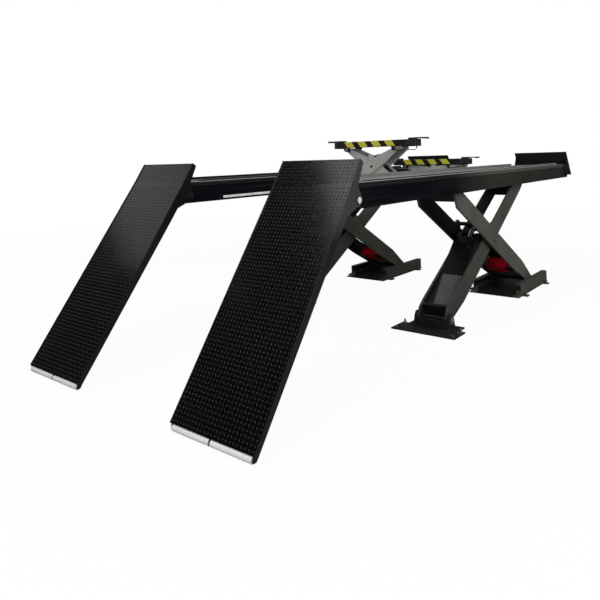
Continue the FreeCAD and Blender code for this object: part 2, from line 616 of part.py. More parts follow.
def outer_leg(side, sign):
    """Two plates joined by a head box, a foot tie, the lock shelf and the crank shaft."""
    body = new_body("outer_leg_" + side)
    pad_across(body, "YZ_Plane", [outer_outline()], 2 * OUTER_HALF)
    over = s.leg_depth + s.crank_radius
    past = s.leg_half + s.hub_radius + s.overrun
    shelf = s.shelf_thickness - s.leg_depth
    box_front = s.outer_box_setback - s.leg_half
    box_rear = s.outer_box_reach - s.leg_half
    tie_front = s.leg_half - s.tie_reach
    tie_rear = s.leg_half - s.tie_setback
    cuts = [box(-past, box_front, -over, over),
            box(box_front, box_rear, -over, -s.outer_box_low),
            box(box_front, box_rear, s.outer_box_high, over),
            [(box_rear, -over), (s.shelf_start, -over), (s.shelf_start, shelf),
             (s.shelf_end, shelf), (s.shelf_end, -over), (tie_front, -over),
             (tie_front, over), (box_rear, over)],
            box(tie_front, tie_rear, -over, -s.tie_low),
            box(tie_front, tie_rear, s.tie_high, over),
            box(tie_rear, past, -over, over)]
    for loop in cuts:
        cut_across(body, "YZ_Plane", [loop], 2 * OUTER_IN)
    crank_y, crank_z = crank_place()
    pad_across(body, "YZ_Plane", [circle(crank_y, crank_z, s.crank_shaft)], 2 * OUTER_IN)
    boss = pad(body, "YZ_Plane", [circle(ZERO, ZERO, s.pivot_tube)],
               INNER_HALF + s.lug_gap, OUTER_IN)
    mirror(body, [boss])
    holes = [circle(ZERO, ZERO, s.pin_radius), circle(-s.leg_half, ZERO, s.pin_radius),
             circle(s.leg_half, ZERO, s.pin_radius)]
    cut_across(body, "YZ_Plane", holes, 2 * (OUTER_HALF + s.overrun))
    return node(place(body, sign * RUNWAY_X, CENTRE_Y, CENTRE_Z, -s.rest_angle))


def headed_pin(label, half):
    """A plain pin with a flat head at each end."""
    return turned(label, -half - s.pin_head,
                  [(s.pin_head, s.pin_head_radius), (2 * half, s.pin_radius),
                   (s.pin_head, s.pin_head_radius)])


def leg_pins(side, sign):
    """The middle pin, the fixed pins in front and the slide shafts behind."""
    centre = headed_pin("centre_pin_" + side, OUTER_HALF + s.slide_clearance)
    node(place(centre, sign * RUNWAY_X, CENTRE_Y, CENTRE_Z))
    bracket = INNER_HALF + s.bracket_gap + s.bracket_thickness + s.slide_clearance
    lug = OUTER_HALF + s.lug_gap + s.lug_thickness + s.slide_clearance
    foot = place(headed_pin("foot_pin_" + side, bracket), sign * RUNWAY_X, s.front_pin,
                 s.foot_pin_height)
    top = s.foot_pin_height + 2 * RISE
    head = place(headed_pin("head_pin_" + side, lug), sign * RUNWAY_X, s.front_pin, top)
    shaft = [(2 * SLIDE_OUT, s.pin_radius)]
    rear = s.front_pin + 2 * RUN
    foot_shaft = place(turned("foot_shaft_" + side, -SLIDE_OUT, shaft), sign * RUNWAY_X, rear,
                       s.foot_pin_height)
    head_shaft = place(turned("head_shaft_" + side, -SLIDE_OUT, shaft), sign * RUNWAY_X, rear, top)
    group("inner_leg_shafts_" + side, [foot, head_shaft])
    group("outer_leg_shafts_" + side, [head, foot_shaft])


def slide_block(label, sign):
    """One chamfered block with its bore, on the right or the left end of a slide shaft."""
    body = new_body(label)
    long = s.slide_length / 2
    tall = s.slide_half_height
    nip = s.slide_chamfer
    outline = [(-long, nip - tall), (nip - long, -tall), (long - nip, -tall), (long, nip - tall),
               (long, tall - nip), (long - nip, tall), (nip - long, tall), (-long, tall - nip)]
    bore = circle(ZERO, ZERO, s.pin_radius + s.pin_clearance)
    start = SLIDE_IN if sign > 0 else -SLIDE_OUT
    pad(body, "YZ_Plane", [outline, bore], start, start + s.slide_width)
    return body


def slides(side, sign):
    rear = s.front_pin + 2 * RUN
    for name, height in (("foot", s.foot_pin_height), ("head", s.foot_pin_height + 2 * RISE)):
        pair = []
        for hand, mark in (("inner", -1), ("outer", 1)):
            block = slide_block(f"{name}_slide_{hand}_{side}", mark)
            pair.append(place(block, sign * RUNWAY_X, rear, height))
        group(f"{name}_slides_{side}", pair)


def lock_box(side, sign):
    """The guarded box of the safety lock, on a shelf between the outer leg's plates."""
    body = new_body("lock_box_" + side)
    low = s.shelf_thickness - s.leg_depth
    nip = s.box_cut
    outline = [(s.box_start, low), (s.box_end, low), (s.box_end, s.box_high - s.box_slope),
               (s.box_end - nip, s.box_high), (s.box_start + nip, s.box_high),
               (s.box_start, s.box_high - nip)]
    pad_across(body, "YZ_Plane", [outline], 2 * BOX_HALF)
    nose = [(BOX_HALF + s.overrun, s.box_start - s.overrun),
            (BOX_HALF + s.overrun, s.box_start + nip), (BOX_HALF, s.box_start + nip),
            (BOX_HALF - nip, s.box_start), (BOX_HALF - nip, s.box_start - s.overrun)]
    corner = cut(body, "XY_Plane", [nose], -s.leg_depth, s.box_high + s.overrun)
    mirror(body, [corner])
    return node(place(body, sign * RUNWAY_X, CENTRE_Y, CENTRE_Z, -s.rest_angle))


def ram_at(item, sign):
    """Sets a cylinder piece at its seat in the inner leg, tilted towards the crank shaft."""
    along, up = on_leg(-RAM_SEAT, -s.ram_drop, s.rest_angle)
    return node(place(item, sign * RUNWAY_X, CENTRE_Y + along, CENTRE_Z + up,
                      s.rest_angle + s.ram_tilt))


def cylinder(side, sign):
    """Barrel with its gland, and an eye round the seat pin."""
    body = turned("cylinder_" + side, s.barrel_start,
                  [(s.barrel_length, s.barrel_radius), (s.gland_length, s.gland_radius)],
                  "YZ_Plane")
    pad_across(body, "YZ_Plane", [circle(ZERO, ZERO, s.ram_eye)], 2 * s.ram_eye_half)
    neck = box(ZERO, s.barrel_start + s.overrun, -s.ram_eye, s.ram_eye)
    pad_across(body, "YZ_Plane", [neck], 2 * s.ram_eye_half)
    cut_across(body, "YZ_Plane", [circle(ZERO, ZERO, s.ram_pin + s.pin_clearance)],
               2 * (s.ram_eye_half + s.overrun))
    end = s.barrel_start + s.barrel_length + s.gland_length
    cut(body, "XZ_Plane", [circle(ZERO, ZERO, s.rod_radius + s.slide_clearance)],
        s.bore_start, end + s.overrun)
    return ram_at(body, sign)


def rod_reach():
    """Distance from the cylinder's seat to the crank shaft, along the cylinder, at rest."""
    crank_y, crank_z = crank_place()
    turn = -2 * s.rest_angle
    along = crank_y * cosine(turn) - crank_z * sine(turn) + RAM_SEAT
    up = crank_y * sine(turn) + crank_z * cosine(turn) + s.ram_drop
    return along * cosine(s.ram_tilt) + up * sine(s.ram_tilt)


def piston_rod(side, sign):
    """Rod with a two-faced saddle that pushes on the crank shaft."""
    reach = rod_reach() - s.crank_shaft - s.saddle_gap - s.saddle_thickness
    body = turned("piston_rod_" + side, s.rod_start, [(reach - s.rod_start, s.rod_radius)],
                  "YZ_Plane")
    tall = s.saddle_half_height
    face = reach + s.saddle_thickness
    saddle = [(reach, -tall), (face - s.saddle_relief, -tall), (face, ZERO), (face, tall),
              (reach, tall)]
    pad_across(body, "YZ_Plane", [saddle], 2 * s.saddle_half_width)
    return ram_at(body, sign)


def cylinder_cover(side, sign):
    """A folded sheet over the cylinder's foot, inside the inner leg's channel."""
    body = new_body("cylinder_cover_" + side)
    top = s.cover_height + s.cover_thickness
    low = s.cover_height - s.cover_skirt
    wide = INNER_IN - s.slide_clearance
    front = s.cover_setback - s.leg_half
    rear = front + s.cover_length
    outline = [(front, s.cover_height - s.cover_fall), (rear, s.cover_height), (rear, top),
               (front, top - s.cover_fall)]
    pad_across(body, "YZ_Plane", [outline], 2 * wide)
    skirt = [(front, low - s.cover_fall), (rear, low), (rear, s.cover_height),
             (front, s.cover_height - s.cover_fall)]
    edge = pad(body, "YZ_Plane", [skirt], wide - s.cover_thickness, wide)
    mirror(body, [edge])
    return node(place(body, sign * RUNWAY_X, CENTRE_Y, CENTRE_Z, s.rest_angle))


# Floor bases


def front_base(side, sign):
    """Floor plate with two tabs, and the brackets of the fixed foot pin."""
    body = new_body("front_base_" + side)
    plate = both_sides([(FRONT_TAB_HALF, -s.front_base_front),
                        (FRONT_TAB_HALF, -s.front_tab_rear),
                        (FRONT_BASE_HALF, -s.front_tab_rear),
                        (FRONT_BASE_HALF, s.front_base_rear)])
    pad(body, "XY_Plane", [plate], ZERO, s.base_thickness)
    top = s.foot_pin_height + s.hub_radius
    outline = [(-s.bracket_foot, s.base_thickness), (s.bracket_foot, s.base_thickness),
               (s.bracket_shoulder, s.foot_pin_height + s.bracket_rise), (s.bracket_top, top),
               (-s.bracket_top, top), (-s.bracket_shoulder, s.foot_pin_height + s.bracket_rise)]
    start = INNER_HALF + s.bracket_gap
    bracket = pad(body, "YZ_Plane", [outline], start, start + s.bracket_thickness)
    mirror(body, [bracket])
    cut_across(body, "YZ_Plane",
               [circle(ZERO, s.foot_pin_height, s.pin_radius + s.pin_clearance)],
               2 * (start + s.bracket_thickness + s.overrun))
    cut(body, "XY_Plane", front_holes(s.anchor_radius, s.anchor_front),
        -s.overrun, s.base_thickness + s.overrun)
    return node(place(body, sign * RUNWAY_X, s.front_pin, ZERO))


def front_holes(radius, front):
    """Four places on the front base's tabs, two on each."""
    across = FRONT_TAB_HALF - s.anchor_inset
    first = front - s.front_base_front
    return [circle(mark * across, first + s.anchor_pitch * count, radius)
            for mark in (-1, 1) for count in (0, 1)]


def rear_holes(radius):
    across = REAR_TAB_HALF - s.anchor_inset
    first = s.rear_base_front + s.rear_tab_inset + s.rear_tab_length / 2
    last = TRACK_REAR - s.rear_tab_inset - s.rear_tab_length / 2
    return [circle(mark * across, along, radius) for mark in (-1, 1) for along in (first, last)]


def base_rails():
    """C-shaped rails on the rear base, one each side, that the lower slide blocks run in."""
    floor = s.foot_pin_height - s.slide_half_height - s.slide_clearance
    roof = s.foot_pin_height + s.slide_half_height + s.slide_clearance
    right = [(SLIDE_IN, s.base_thickness), (TRACK_OUT, s.base_thickness),
             (TRACK_OUT, roof + s.track_lip), (SLIDE_IN, roof + s.track_lip), (SLIDE_IN, roof),
             (TRACK_WALL_IN, roof), (TRACK_WALL_IN, floor), (SLIDE_IN, floor)]
    return [right, [(-across, up) for across, up in right]]


def rear_base(side, sign):
    """Long floor plate with four tabs and two slide rails."""
    body = new_body("rear_base_" + side)
    first = s.rear_base_front + s.rear_tab_inset
    last = TRACK_REAR - s.rear_tab_inset
    plate = both_sides([(REAR_BASE_HALF, s.rear_base_front), (REAR_BASE_HALF, first),
                        (REAR_TAB_HALF, first), (REAR_TAB_HALF, first + s.rear_tab_length),
                        (REAR_BASE_HALF, first + s.rear_tab_length),
                        (REAR_BASE_HALF, last - s.rear_tab_length),
                        (REAR_TAB_HALF, last - s.rear_tab_length), (REAR_TAB_HALF, last),
                        (REAR_BASE_HALF, last), (REAR_BASE_HALF, TRACK_REAR)])
    pad(body, "XY_Plane", [plate], ZERO, s.base_thickness)
    pad(body, "XZ_Plane", base_rails(), s.rear_base_front + s.rear_rail_inset, TRACK_REAR)
    cut(body, "XY_Plane", rear_holes(s.anchor_radius), -s.overrun, s.base_thickness + s.overrun)
    return node(place(body, sign * RUNWAY_X, s.front_pin, ZERO))


def levelling_bolts():
    """Short levelling bolts with a washer and a nut, on the front bases' tabs."""
    bolts = []
    for side, sign in SIDES:
        for mark in (-1, 1):
            bolt = new_body(f"levelling_bolt_{side}_{'inner' if mark < 0 else 'outer'}")
            low = s.base_thickness
            pad(bolt, "XY_Plane", [circle(ZERO, ZERO, s.washer_radius)], low,
                low + s.washer_thickness)
            pad(bolt, "XY_Plane", [hexagon(s.nut_radius)], low + s.washer_thickness,
                low + s.washer_thickness + s.nut_thickness)
            pad(bolt, "XY_Plane", [circle(ZERO, ZERO, s.bolt_radius)], low, low + s.bolt_height)
            across = sign * RUNWAY_X + mark * (FRONT_TAB_HALF - s.anchor_inset)
            along = s.front_pin - s.front_tab_rear - s.bolt_setback
            bolts.append(place(bolt, across, along, ZERO))
    group("levelling_bolts", bolts)


def hexagon(radius):
    return [(radius * round(math.cos(math.radians(60 * turn)), 6),
             radius * round(math.sin(math.radians(60 * turn)), 6)) for turn in range(6)]


# Approach ramps, drawn level with their hinge at the origin


def ramp_side_outline():
    top = s.ramp_offset + s.ramp_lip
    low = s.ramp_offset - s.ramp_side_depth
    return ([(-s.ramp_tip, top), (-s.ramp_tip, s.ramp_offset - s.ramp_tip_depth),
             (-s.ramp_side_step, low), (-s.ramp_lug_front, low)]
            + around(RAMP_LUG_SHARES, ZERO, ZERO, s.ramp_lug_radius)
            + [(s.ramp_lug_rear, low), (s.ramp_top, s.ramp_offset - s.ramp_tip_depth),
               (s.ramp_top, top + s.ramp_flap_rise), (s.ramp_crease, top)])


def roller_bracket():
    """Side view of a bracket that holds the roller shaft under the ramp's tip."""
    low = s.ramp_offset - s.ramp_plate
    back = s.ramp_tip - s.roller_bracket_depth
    small = s.roller_bracket_radius
    return ([(-back, low), (-s.ramp_tip, low)]
            + around(ROLLER_BRACKET_SHARES, -s.roller_reach, s.roller_height, small)
            + [(-back, s.roller_height - small / 2)])


def ramp(side, sign):
    """Chequer plate bent at the deck's edge, with folded sides that carry the hinge lugs."""
    body = new_body("ramp_" + side)
    low = s.ramp_offset - s.ramp_plate
    plate = [(-s.ramp_tip, low), (s.ramp_crease, low), (s.ramp_top, low + s.ramp_flap_rise),
             (s.ramp_top, s.ramp_offset + s.ramp_flap_rise), (s.ramp_crease, s.ramp_offset),
             (-s.ramp_tip, s.ramp_offset)]
    pad_across(body, "YZ_Plane", [plate], 2 * RAMP_HALF)
    wall = pad(body, "YZ_Plane", [ramp_side_outline()], RAMP_HALF - s.ramp_side, RAMP_HALF)
    mirror(body, [wall])
    inside = RAMP_HALF - s.ramp_side
    ribs = []
    for count in range(number_of(s.ramp_rib_count)):
        along = -s.ramp_rib_first - s.ramp_rib_pitch * count
        ribs.append(box(-inside, inside, along, along + s.ramp_rib_thickness))
    pad(body, "XY_Plane", ribs, s.ramp_offset - s.ramp_rib_depth, low)
    pad_across(body, "YZ_Plane", [roller_bracket()], s.roller_bracket)
    end = pad(body, "YZ_Plane", [roller_bracket()], inside - s.roller_bracket, inside)
    mirror(body, [end])
    pad_across(body, "YZ_Plane", [circle(-s.roller_reach, s.roller_height, s.roller_shaft)],
               2 * inside)
    cut_across(body, "YZ_Plane", [circle(ZERO, ZERO, s.hinge_pin + s.pin_clearance)],
               2 * (RAMP_HALF + s.overrun))
    return node(at_ramp_hinge(body, sign))


def at_ramp_hinge(item, sign):
    return place(item, sign * RUNWAY_X, s.ramp_pin_setback, DECK_Z - s.ramp_pin_drop, s.ramp_angle)


def at_roller(item, sign):
    """Sets a turned piece at the ramp's tip."""
    along = -s.roller_reach * cosine(s.ramp_angle) - s.roller_height * sine(s.ramp_angle)
    up = s.roller_height * cosine(s.ramp_angle) - s.roller_reach * sine(s.ramp_angle)
    return place(item, sign * RUNWAY_X, s.ramp_pin_setback + along,
                 DECK_Z - s.ramp_pin_drop + up)


def capped_pin(label, mark, outer):
    """A short hinge pin through one skirt and one side wall, with a cap outside."""
    inner = SKIRT_IN - s.hinge_inner
    length = outer + s.slide_clearance - inner
    if mark > 0:
        return turned(label, inner, [(length, s.hinge_pin), (s.pin_head, s.hinge_cap)])
    return turned(label, -inner - length - s.pin_head,
                  [(s.pin_head, s.hinge_cap), (length, s.hinge_pin)])


def hinge_pins(side, sign):
    """Four capped pins in the skirts: two carry the ramp and two the wheel stop."""
    parts = []
    for mark in (-1, 1):
        hand = "inner" if mark * sign < 0 else "outer"
        front = capped_pin(f"ramp_pin_{side}_{hand}", mark, RAMP_HALF)
        rear = capped_pin(f"stop_pin_{side}_{hand}", mark, STOP_HALF)
        parts.append(at_ramp_hinge(front, sign))
        parts.append(at_stop_hinge(rear, sign))
    group("hinge_pins_" + side, parts)


def ramp_rollers(side, sign):
    """Two rollers on the tip shaft, one each side of the middle bracket."""
    start = s.roller_bracket / 2 + s.roller_gap
    length = RAMP_HALF - s.ramp_side - s.roller_bracket - s.roller_gap - start
    bore = s.roller_shaft + s.pin_clearance
    parts = []
    for hand, begin in (("inner", -start - length), ("outer", start)):
        body = new_body(f"ramp_roller_{side}_{hand}")
        pad(body, "YZ_Plane", [circle(ZERO, ZERO, s.roller_radius), circle(ZERO, ZERO, bore)],
            begin, begin + length)
        parts.append(at_roller(body, sign))
    group("ramp_rollers_" + side, parts)


# Far wheel stops, drawn upright with their hinge at the origin


def wheel_stop(side, sign):
    """A plate on two side arms, that leans over the deck as a stop and folds down outside."""
    body = new_body("wheel_stop_" + side)
    back = s.stop_offset - s.stop_plate
    pad_across(body, "YZ_Plane", [box(back, s.stop_offset, -s.stop_low, s.stop_high)],
               2 * STOP_HALF)
    outline = ([(back, -s.stop_arm_half), (back, s.stop_arm_half)]
               + around(STOP_HUB_SHARES, ZERO, ZERO, s.stop_hub))
    arm = pad(body, "YZ_Plane", [outline], STOP_HALF - s.stop_arm, STOP_HALF)
    mirror(body, [arm])
    cut_across(body, "YZ_Plane", [circle(ZERO, ZERO, s.hinge_pin + s.pin_clearance)],
               2 * (STOP_HALF + s.overrun))
    across = s.stop_notch_width / 2
    notch = [(-across, s.stop_high + s.overrun), (ZERO, s.stop_high - s.stop_notch_depth),
             (across, s.stop_high + s.overrun)]
    cut(body, "XZ_Plane", [notch], back - s.overrun, s.stop_offset + s.overrun)
    return node(at_stop_hinge(body, sign))


def at_stop_hinge(item, sign):
    return place(item, sign * RUNWAY_X, s.runway_length - s.stop_setback, DECK_Z - s.stop_drop,
                 s.stop_angle)


# Rolling jacks, each drawn in its own frame: X across, Z from the deck's level


def jack_arm_outline():
    """A long plate, widest in the middle, with a round end at each pin."""
    end = s.jack_arm / 2
    deep = s.jack_arm_depth
    wide = s.jack_taper
    right = around(ARM_END_SHARES, end, ZERO, s.jack_hub)
    left = [(-across, -up) for across, up in right]
    return [(wide, -deep)] + right + [(wide, deep), (-wide, deep)] + left + [(-wide, -deep)]


def arm_ends(turn, place_x):
    """Places of a jack arm's middle, from its fixed lower pin."""
    return place_x + s.jack_arm / 2 * cosine(turn), s.jack_arm / 2 * sine(turn)


def jack_place(item, along, across, up, turn=None):
    return place(item, across, along, DECK_Z - s.jack_pin_drop + up, turn,
                 FreeCAD.Vector(0, -1, 0))


def jack_arm_a(name, along, angle):
    """Outer arm of a jack's scissor: fixed below on the left, sliding in the beam on the right."""
    body = new_body(name + "_arm_outer")
    end = s.jack_arm / 2
    pad_across(body, "XZ_Plane", [circle(-end, ZERO, s.jack_pin)], 2 * s.jack_pin_end)
    outer = s.jack_a_inner + s.jack_plate
    lobe_x = s.jack_lobe_reach * cosine(s.jack_lobe_lead)
    lobe_z = s.jack_lobe_reach * sine(s.jack_lobe_lead)
    ear = ([(lobe_x - s.jack_lobe_root, ZERO), (lobe_x + s.jack_lobe_root, ZERO)]
           + around(JACK_LOBE_SHARES, lobe_x, lobe_z, s.jack_lobe))
    plate = pad(body, "XZ_Plane", [jack_arm_outline()], s.jack_a_inner, outer)
    side_ear = pad(body, "XZ_Plane", [ear], s.jack_a_inner, outer)
    mirror(body, [plate, side_ear], "XZ_Plane")
    pad_across(body, "XZ_Plane", [circle(end, ZERO, s.jack_pin)], 2 * s.jack_pin_end)
    pad_across(body, "XZ_Plane", [circle(lobe_x, lobe_z, s.jack_crank)], 2 * s.jack_a_inner)
    pad_across(body, "XZ_Plane", [circle(ZERO, ZERO, s.jack_pivot)], 2 * s.jack_a_inner)
    middle_x, middle_z = arm_ends(angle, -s.jack_anchor)
    return node(jack_place(body, along, middle_x, middle_z, angle))


def jack_arm_b(name, along, angle):
    """Inner arm of a jack's scissor: pinned to the beam on the left, sliding in the tray."""
    body = new_body(name + "_arm_inner")
    end = s.jack_arm / 2
    outer = s.jack_b_inner + s.jack_plate
    pad_across(body, "XZ_Plane", [circle(end, ZERO, s.jack_pin)], 2 * s.jack_pin_end)
    plate = pad(body, "XZ_Plane", [jack_arm_outline()], s.jack_b_inner, outer)
    mirror(body, [plate], "XZ_Plane")
    pad_across(body, "XZ_Plane", [circle(-end, ZERO, s.jack_pin)], 2 * s.jack_pin_end)
    pad_across(body, "XZ_Plane", [circle(s.jack_ram_seat, ZERO, s.jack_ram_pin)],
               2 * s.jack_b_inner)
    cut_across(body, "XZ_Plane", [circle(ZERO, ZERO, s.jack_pivot + s.pin_clearance)],
               2 * (outer + s.overrun))
    middle_x, middle_z = arm_ends(angle, -s.jack_anchor)
    return node(jack_place(body, along, middle_x, middle_z, -angle))


def jack_carriage(name, along):
    """A tray between the runways, that hangs on the rails by a claw at each end."""
    body = new_body(name + "_carriage")
    base = s.jack_pin_drop
    low = base - s.tray_bottom
    high = base - s.tray_top
    wall = s.tray_half - s.tray_wall
    tray = [(-s.tray_half, low), (s.tray_half, low), (s.tray_half, high), (wall, high),
            (wall, low + s.tray_wall), (-wall, low + s.tray_wall), (-wall, high),
            (-s.tray_half, high)]
    pad_across(body, "YZ_Plane", [tray], 2 * s.tray_end)
    rail_in = s.runway_gap / 2 + s.skirt_ledge - s.rail_width
    tip = s.runway_gap / 2 + s.skirt_ledge - s.claw_skirt_gap
    top = base - s.rail_drop + s.claw_gap
    bottom = base - s.rail_drop - s.rail_height - s.claw_gap
    claw = [(s.tray_end, top + s.claw_thickness), (s.tray_end, bottom - s.claw_thickness),
            (tip, bottom - s.claw_thickness), (tip, bottom), (rail_in - s.claw_gap, bottom),
            (rail_in - s.claw_gap, top), (tip, top), (tip, top + s.claw_thickness)]
    pad_across(body, "XZ_Plane", [claw], 2 * s.claw_half)
    pad_across(body, "XZ_Plane", [[(-across, up) for across, up in claw]], 2 * s.claw_half)
    wide = 2 * (s.tray_half + s.overrun)
    slot = s.jack_pin + s.slot_clearance
    cut_across(body, "XZ_Plane", [circle(-s.jack_anchor, ZERO, s.jack_pin + s.pin_clearance)], wide)
    cut_across(body, "XZ_Plane", [box(s.slot_start, s.slot_end, -slot, slot)], wide)
    return node(jack_place(body, along, ZERO, ZERO))


def jack_beam(name, along, angle):
    """Box beam with an ear below at each end: a pin hole on the left, a slot on the right."""
    body = new_body(name + "_beam")
    pad_across(body, "XZ_Plane", [box(-s.beam_half, s.beam_half, s.beam_low, s.beam_high)],
               2 * s.beam_half_width)
    inner = s.beam_half_width - s.beam_wall
    cut_across(body, "YZ_Plane", [box(-inner, inner, s.beam_low + s.beam_plate,
                                      s.beam_high - s.beam_plate)],
               2 * (s.beam_half + s.overrun))
    cut(body, "XY_Plane", [box(-s.beam_open, s.beam_open, -inner, inner)],
        s.beam_low - s.overrun, s.beam_low + s.beam_plate + s.overrun)
    left = [(-s.ear_left, s.beam_low), (-s.ear_left, ZERO), (-s.ear_left + s.ear_slope, -s.ear_low),
            (-s.ear_left_inner, -s.ear_low), (-s.ear_left_inner + s.ear_slope, s.beam_low)]
    right = [(s.ear_right_inner - s.ear_slope, s.beam_low), (s.ear_right_inner, -s.ear_low),
             (s.beam_half - s.ear_slope, -s.ear_low), (s.beam_half, ZERO), (s.beam_half, s.beam_low)]
    ears = pad(body, "XZ_Plane", [left, right], inner, s.beam_half_width)
    mirror(body, [ears], "XZ_Plane")
    wide = 2 * (s.beam_half_width + s.overrun)
    slot = s.jack_pin + s.slot_clearance
    cut_across(body, "XZ_Plane", [circle(-s.jack_anchor, ZERO, s.jack_pin + s.pin_clearance)], wide)
    cut_across(body, "XZ_Plane", [box(s.slot_start, s.slot_end, -slot, slot)], wide)
    return node(jack_place(body, along, ZERO, s.jack_arm * sine(angle)))


def jack_extension(name, along, angle, side, sign):
    """Sliding arm in the beam's end, with a block, a post and a saddle plate for the car."""
    body = new_body(f"{name}_arm_{side}")
    low = s.beam_low + s.beam_plate + s.arm_clearance
    high = s.beam_high - s.beam_plate - s.arm_clearance
    wide = s.beam_half_width - s.beam_wall - s.arm_clearance
    profile = [(-wide, low), (s.arm_wall - wide, low), (s.arm_wall - wide, high - s.arm_wall),
               (wide - s.arm_wall, high - s.arm_wall), (wide - s.arm_wall, low), (wide, low),
               (wide, high), (-wide, high)]
    inner, reach = (s.arm_inner, s.block_start) if sign > 0 else (-s.block_start, -s.arm_inner)
    pad(body, "YZ_Plane", [profile], inner, reach)
    first, last = ((s.block_start, s.block_end) if sign > 0 else (-s.block_end, -s.block_start))
    pad(body, "XY_Plane", [box(first, last, -s.block_half, s.block_half)], s.block_low,
        s.block_high)
    plate = s.beam_wall
    bridge = ((s.block_start - plate, s.block_start) if sign > 0
              else (-s.block_start, plate - s.block_start))
    pad(body, "YZ_Plane", [box(-wide, wide, low, high)], bridge[0], bridge[1])
    centre = sign * (s.block_start + s.block_end) / 2
    pad(body, "XY_Plane", [circle(centre, ZERO, s.post_radius)], s.block_low, s.pad_low)
    pads = box(sign * s.pad_centre - s.pad_half, sign * s.pad_centre + s.pad_half,
               -s.pad_half_width, s.pad_half_width)
    pad(body, "XY_Plane", [pads], s.pad_low, s.pad_low + s.pad_thickness)
    return node(jack_place(body, along, ZERO, s.jack_arm * sine(angle)))


def at_jack_ram(item, along, angle):
    """Sets a ram piece at its seat on the inner arm, tilted towards the outer arm's crank."""
    middle_x, middle_z = arm_ends(angle, -s.jack_anchor)
    seat_x = middle_x + s.jack_ram_seat * cosine(angle)
    seat_z = middle_z - s.jack_ram_seat * sine(angle)
    return node(jack_place(item, along, seat_x, seat_z, -angle - s.jack_ram_tilt))


def jack_ram(name, along, angle):
    """Ram barrel, drawn along -X from its eye."""
    body = turned(name + "_ram", -s.jack_barrel_start - s.jack_barrel_length,
                  [(s.jack_barrel_length, s.jack_barrel_radius)])
    pad_across(body, "XZ_Plane", [circle(ZERO, ZERO, s.jack_ram_eye)], 2 * s.jack_ram_eye_half)
    neck = box(-s.jack_barrel_start - s.overrun, ZERO, -s.jack_ram_eye, s.jack_ram_eye)
    pad_across(body, "XZ_Plane", [neck], 2 * s.jack_ram_eye_half)
    cut_across(body, "XZ_Plane", [circle(ZERO, ZERO, s.jack_ram_pin + s.pin_clearance)],
               2 * (s.jack_ram_eye_half + s.overrun))
    cut(body, "YZ_Plane", [circle(ZERO, ZERO, s.jack_rod_radius + s.slide_clearance)],
        -s.jack_barrel_start - s.jack_barrel_length - s.overrun, -s.jack_bore_start)
    return at_jack_ram(body, along, angle)


def jack_rod_reach(angle):
    """Distance from the ram's seat to the crank, along the ram, at rest."""
    lead = s.jack_lobe_lead + 2 * angle
    along = s.jack_ram_seat - s.jack_lobe_reach * cosine(lead)
    up = s.jack_lobe_reach * sine(lead)
    return along * cosine(s.jack_ram_tilt) + up * sine(s.jack_ram_tilt)


def jack_rod(name, along, angle):
    """Ram rod with a flat saddle that pushes on the outer arm's crank."""
    reach = jack_rod_reach(angle) - s.jack_crank - s.jack_saddle_gap - s.jack_saddle
    body = turned(name + "_ram_rod", -reach, [(s.jack_rod_length, s.jack_rod_radius)])
    half = s.jack_saddle_half
    pad(body, "YZ_Plane", [box(-s.jack_saddle_half_width, s.jack_saddle_half_width, -half, half)],
        -reach - s.jack_saddle, -reach)
    return at_jack_ram(body, along, angle)


def rolling_jack(name, along, angle):
    jack_carriage(name, along)
    jack_arm_a(name, along, angle)
    jack_arm_b(name, along, angle)
    jack_beam(name, along, angle)
    jack_ram(name, along, angle)
    jack_rod(name, along, angle)
    for side, sign in SIDES:
        jack_extension(name, along, angle, side, sign)


SIDES = (("left", -1), ("right", 1))


def build():
    for side, sign in SIDES:
        for piece in (runway, jack_rail, turnplate, slip_plate, inner_leg, outer_leg, leg_pins,
                      slides, lock_box, cylinder, piston_rod, cylinder_cover, front_base,
                      rear_base, ramp, ramp_rollers, wheel_stop, hinge_pins):
            piece(side, sign)
    levelling_bolts()
    rolling_jack("front_jack", s.front_jack_place, s.front_jack_angle)
    rolling_jack("rear_jack", s.rear_jack_place, s.rear_jack_angle)


def check_and_write():
    for item in doc.Objects:
        if "Invalid" in item.State or "Error" in item.State:
            raise RuntimeError(f"{item.Label} did not recompute: {item.State}")
    os.makedirs("parts", exist_ok=True)
    for item in NODES:
        shape = item.Shape
        if shape.isNull() or not shape.isValid() or not shape.Solids:
            raise RuntimeError(f"{item.Label} has no valid shape")
        shape.exportStep(f"parts/{item.Label}.step")
    print(len(NODES), "nodes written")


build()
doc.recompute()
check_and_write()
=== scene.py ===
import bpy
import math
import numpy as np
from mathutils import Matrix, Vector


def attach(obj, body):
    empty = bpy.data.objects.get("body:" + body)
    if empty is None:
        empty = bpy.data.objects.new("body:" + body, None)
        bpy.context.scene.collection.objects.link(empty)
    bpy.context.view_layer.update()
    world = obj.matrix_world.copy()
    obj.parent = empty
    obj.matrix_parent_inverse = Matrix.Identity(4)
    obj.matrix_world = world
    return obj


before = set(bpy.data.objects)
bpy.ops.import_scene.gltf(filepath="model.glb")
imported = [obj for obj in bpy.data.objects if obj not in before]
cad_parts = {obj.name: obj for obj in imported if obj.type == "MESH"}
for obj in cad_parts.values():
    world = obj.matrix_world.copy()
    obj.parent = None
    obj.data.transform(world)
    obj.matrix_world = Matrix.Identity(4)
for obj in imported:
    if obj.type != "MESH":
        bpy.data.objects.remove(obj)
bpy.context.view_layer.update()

# Camera: at the height of a person's chest, ahead of the right ramp and to its side.
# Its place and turn come from a fit to the photograph's straight edges.
CAMERA_PLACE = (3.179, -5.1204, 1.512)
CAMERA_TURN = 0.6809
CAMERA_TILT = -0.0365
CAMERA_ROLL = -0.0292
SENSOR = 36.0
FOCAL = 34.85
SHIFT_ACROSS = 0.0013
SHIFT_UP = -0.2701

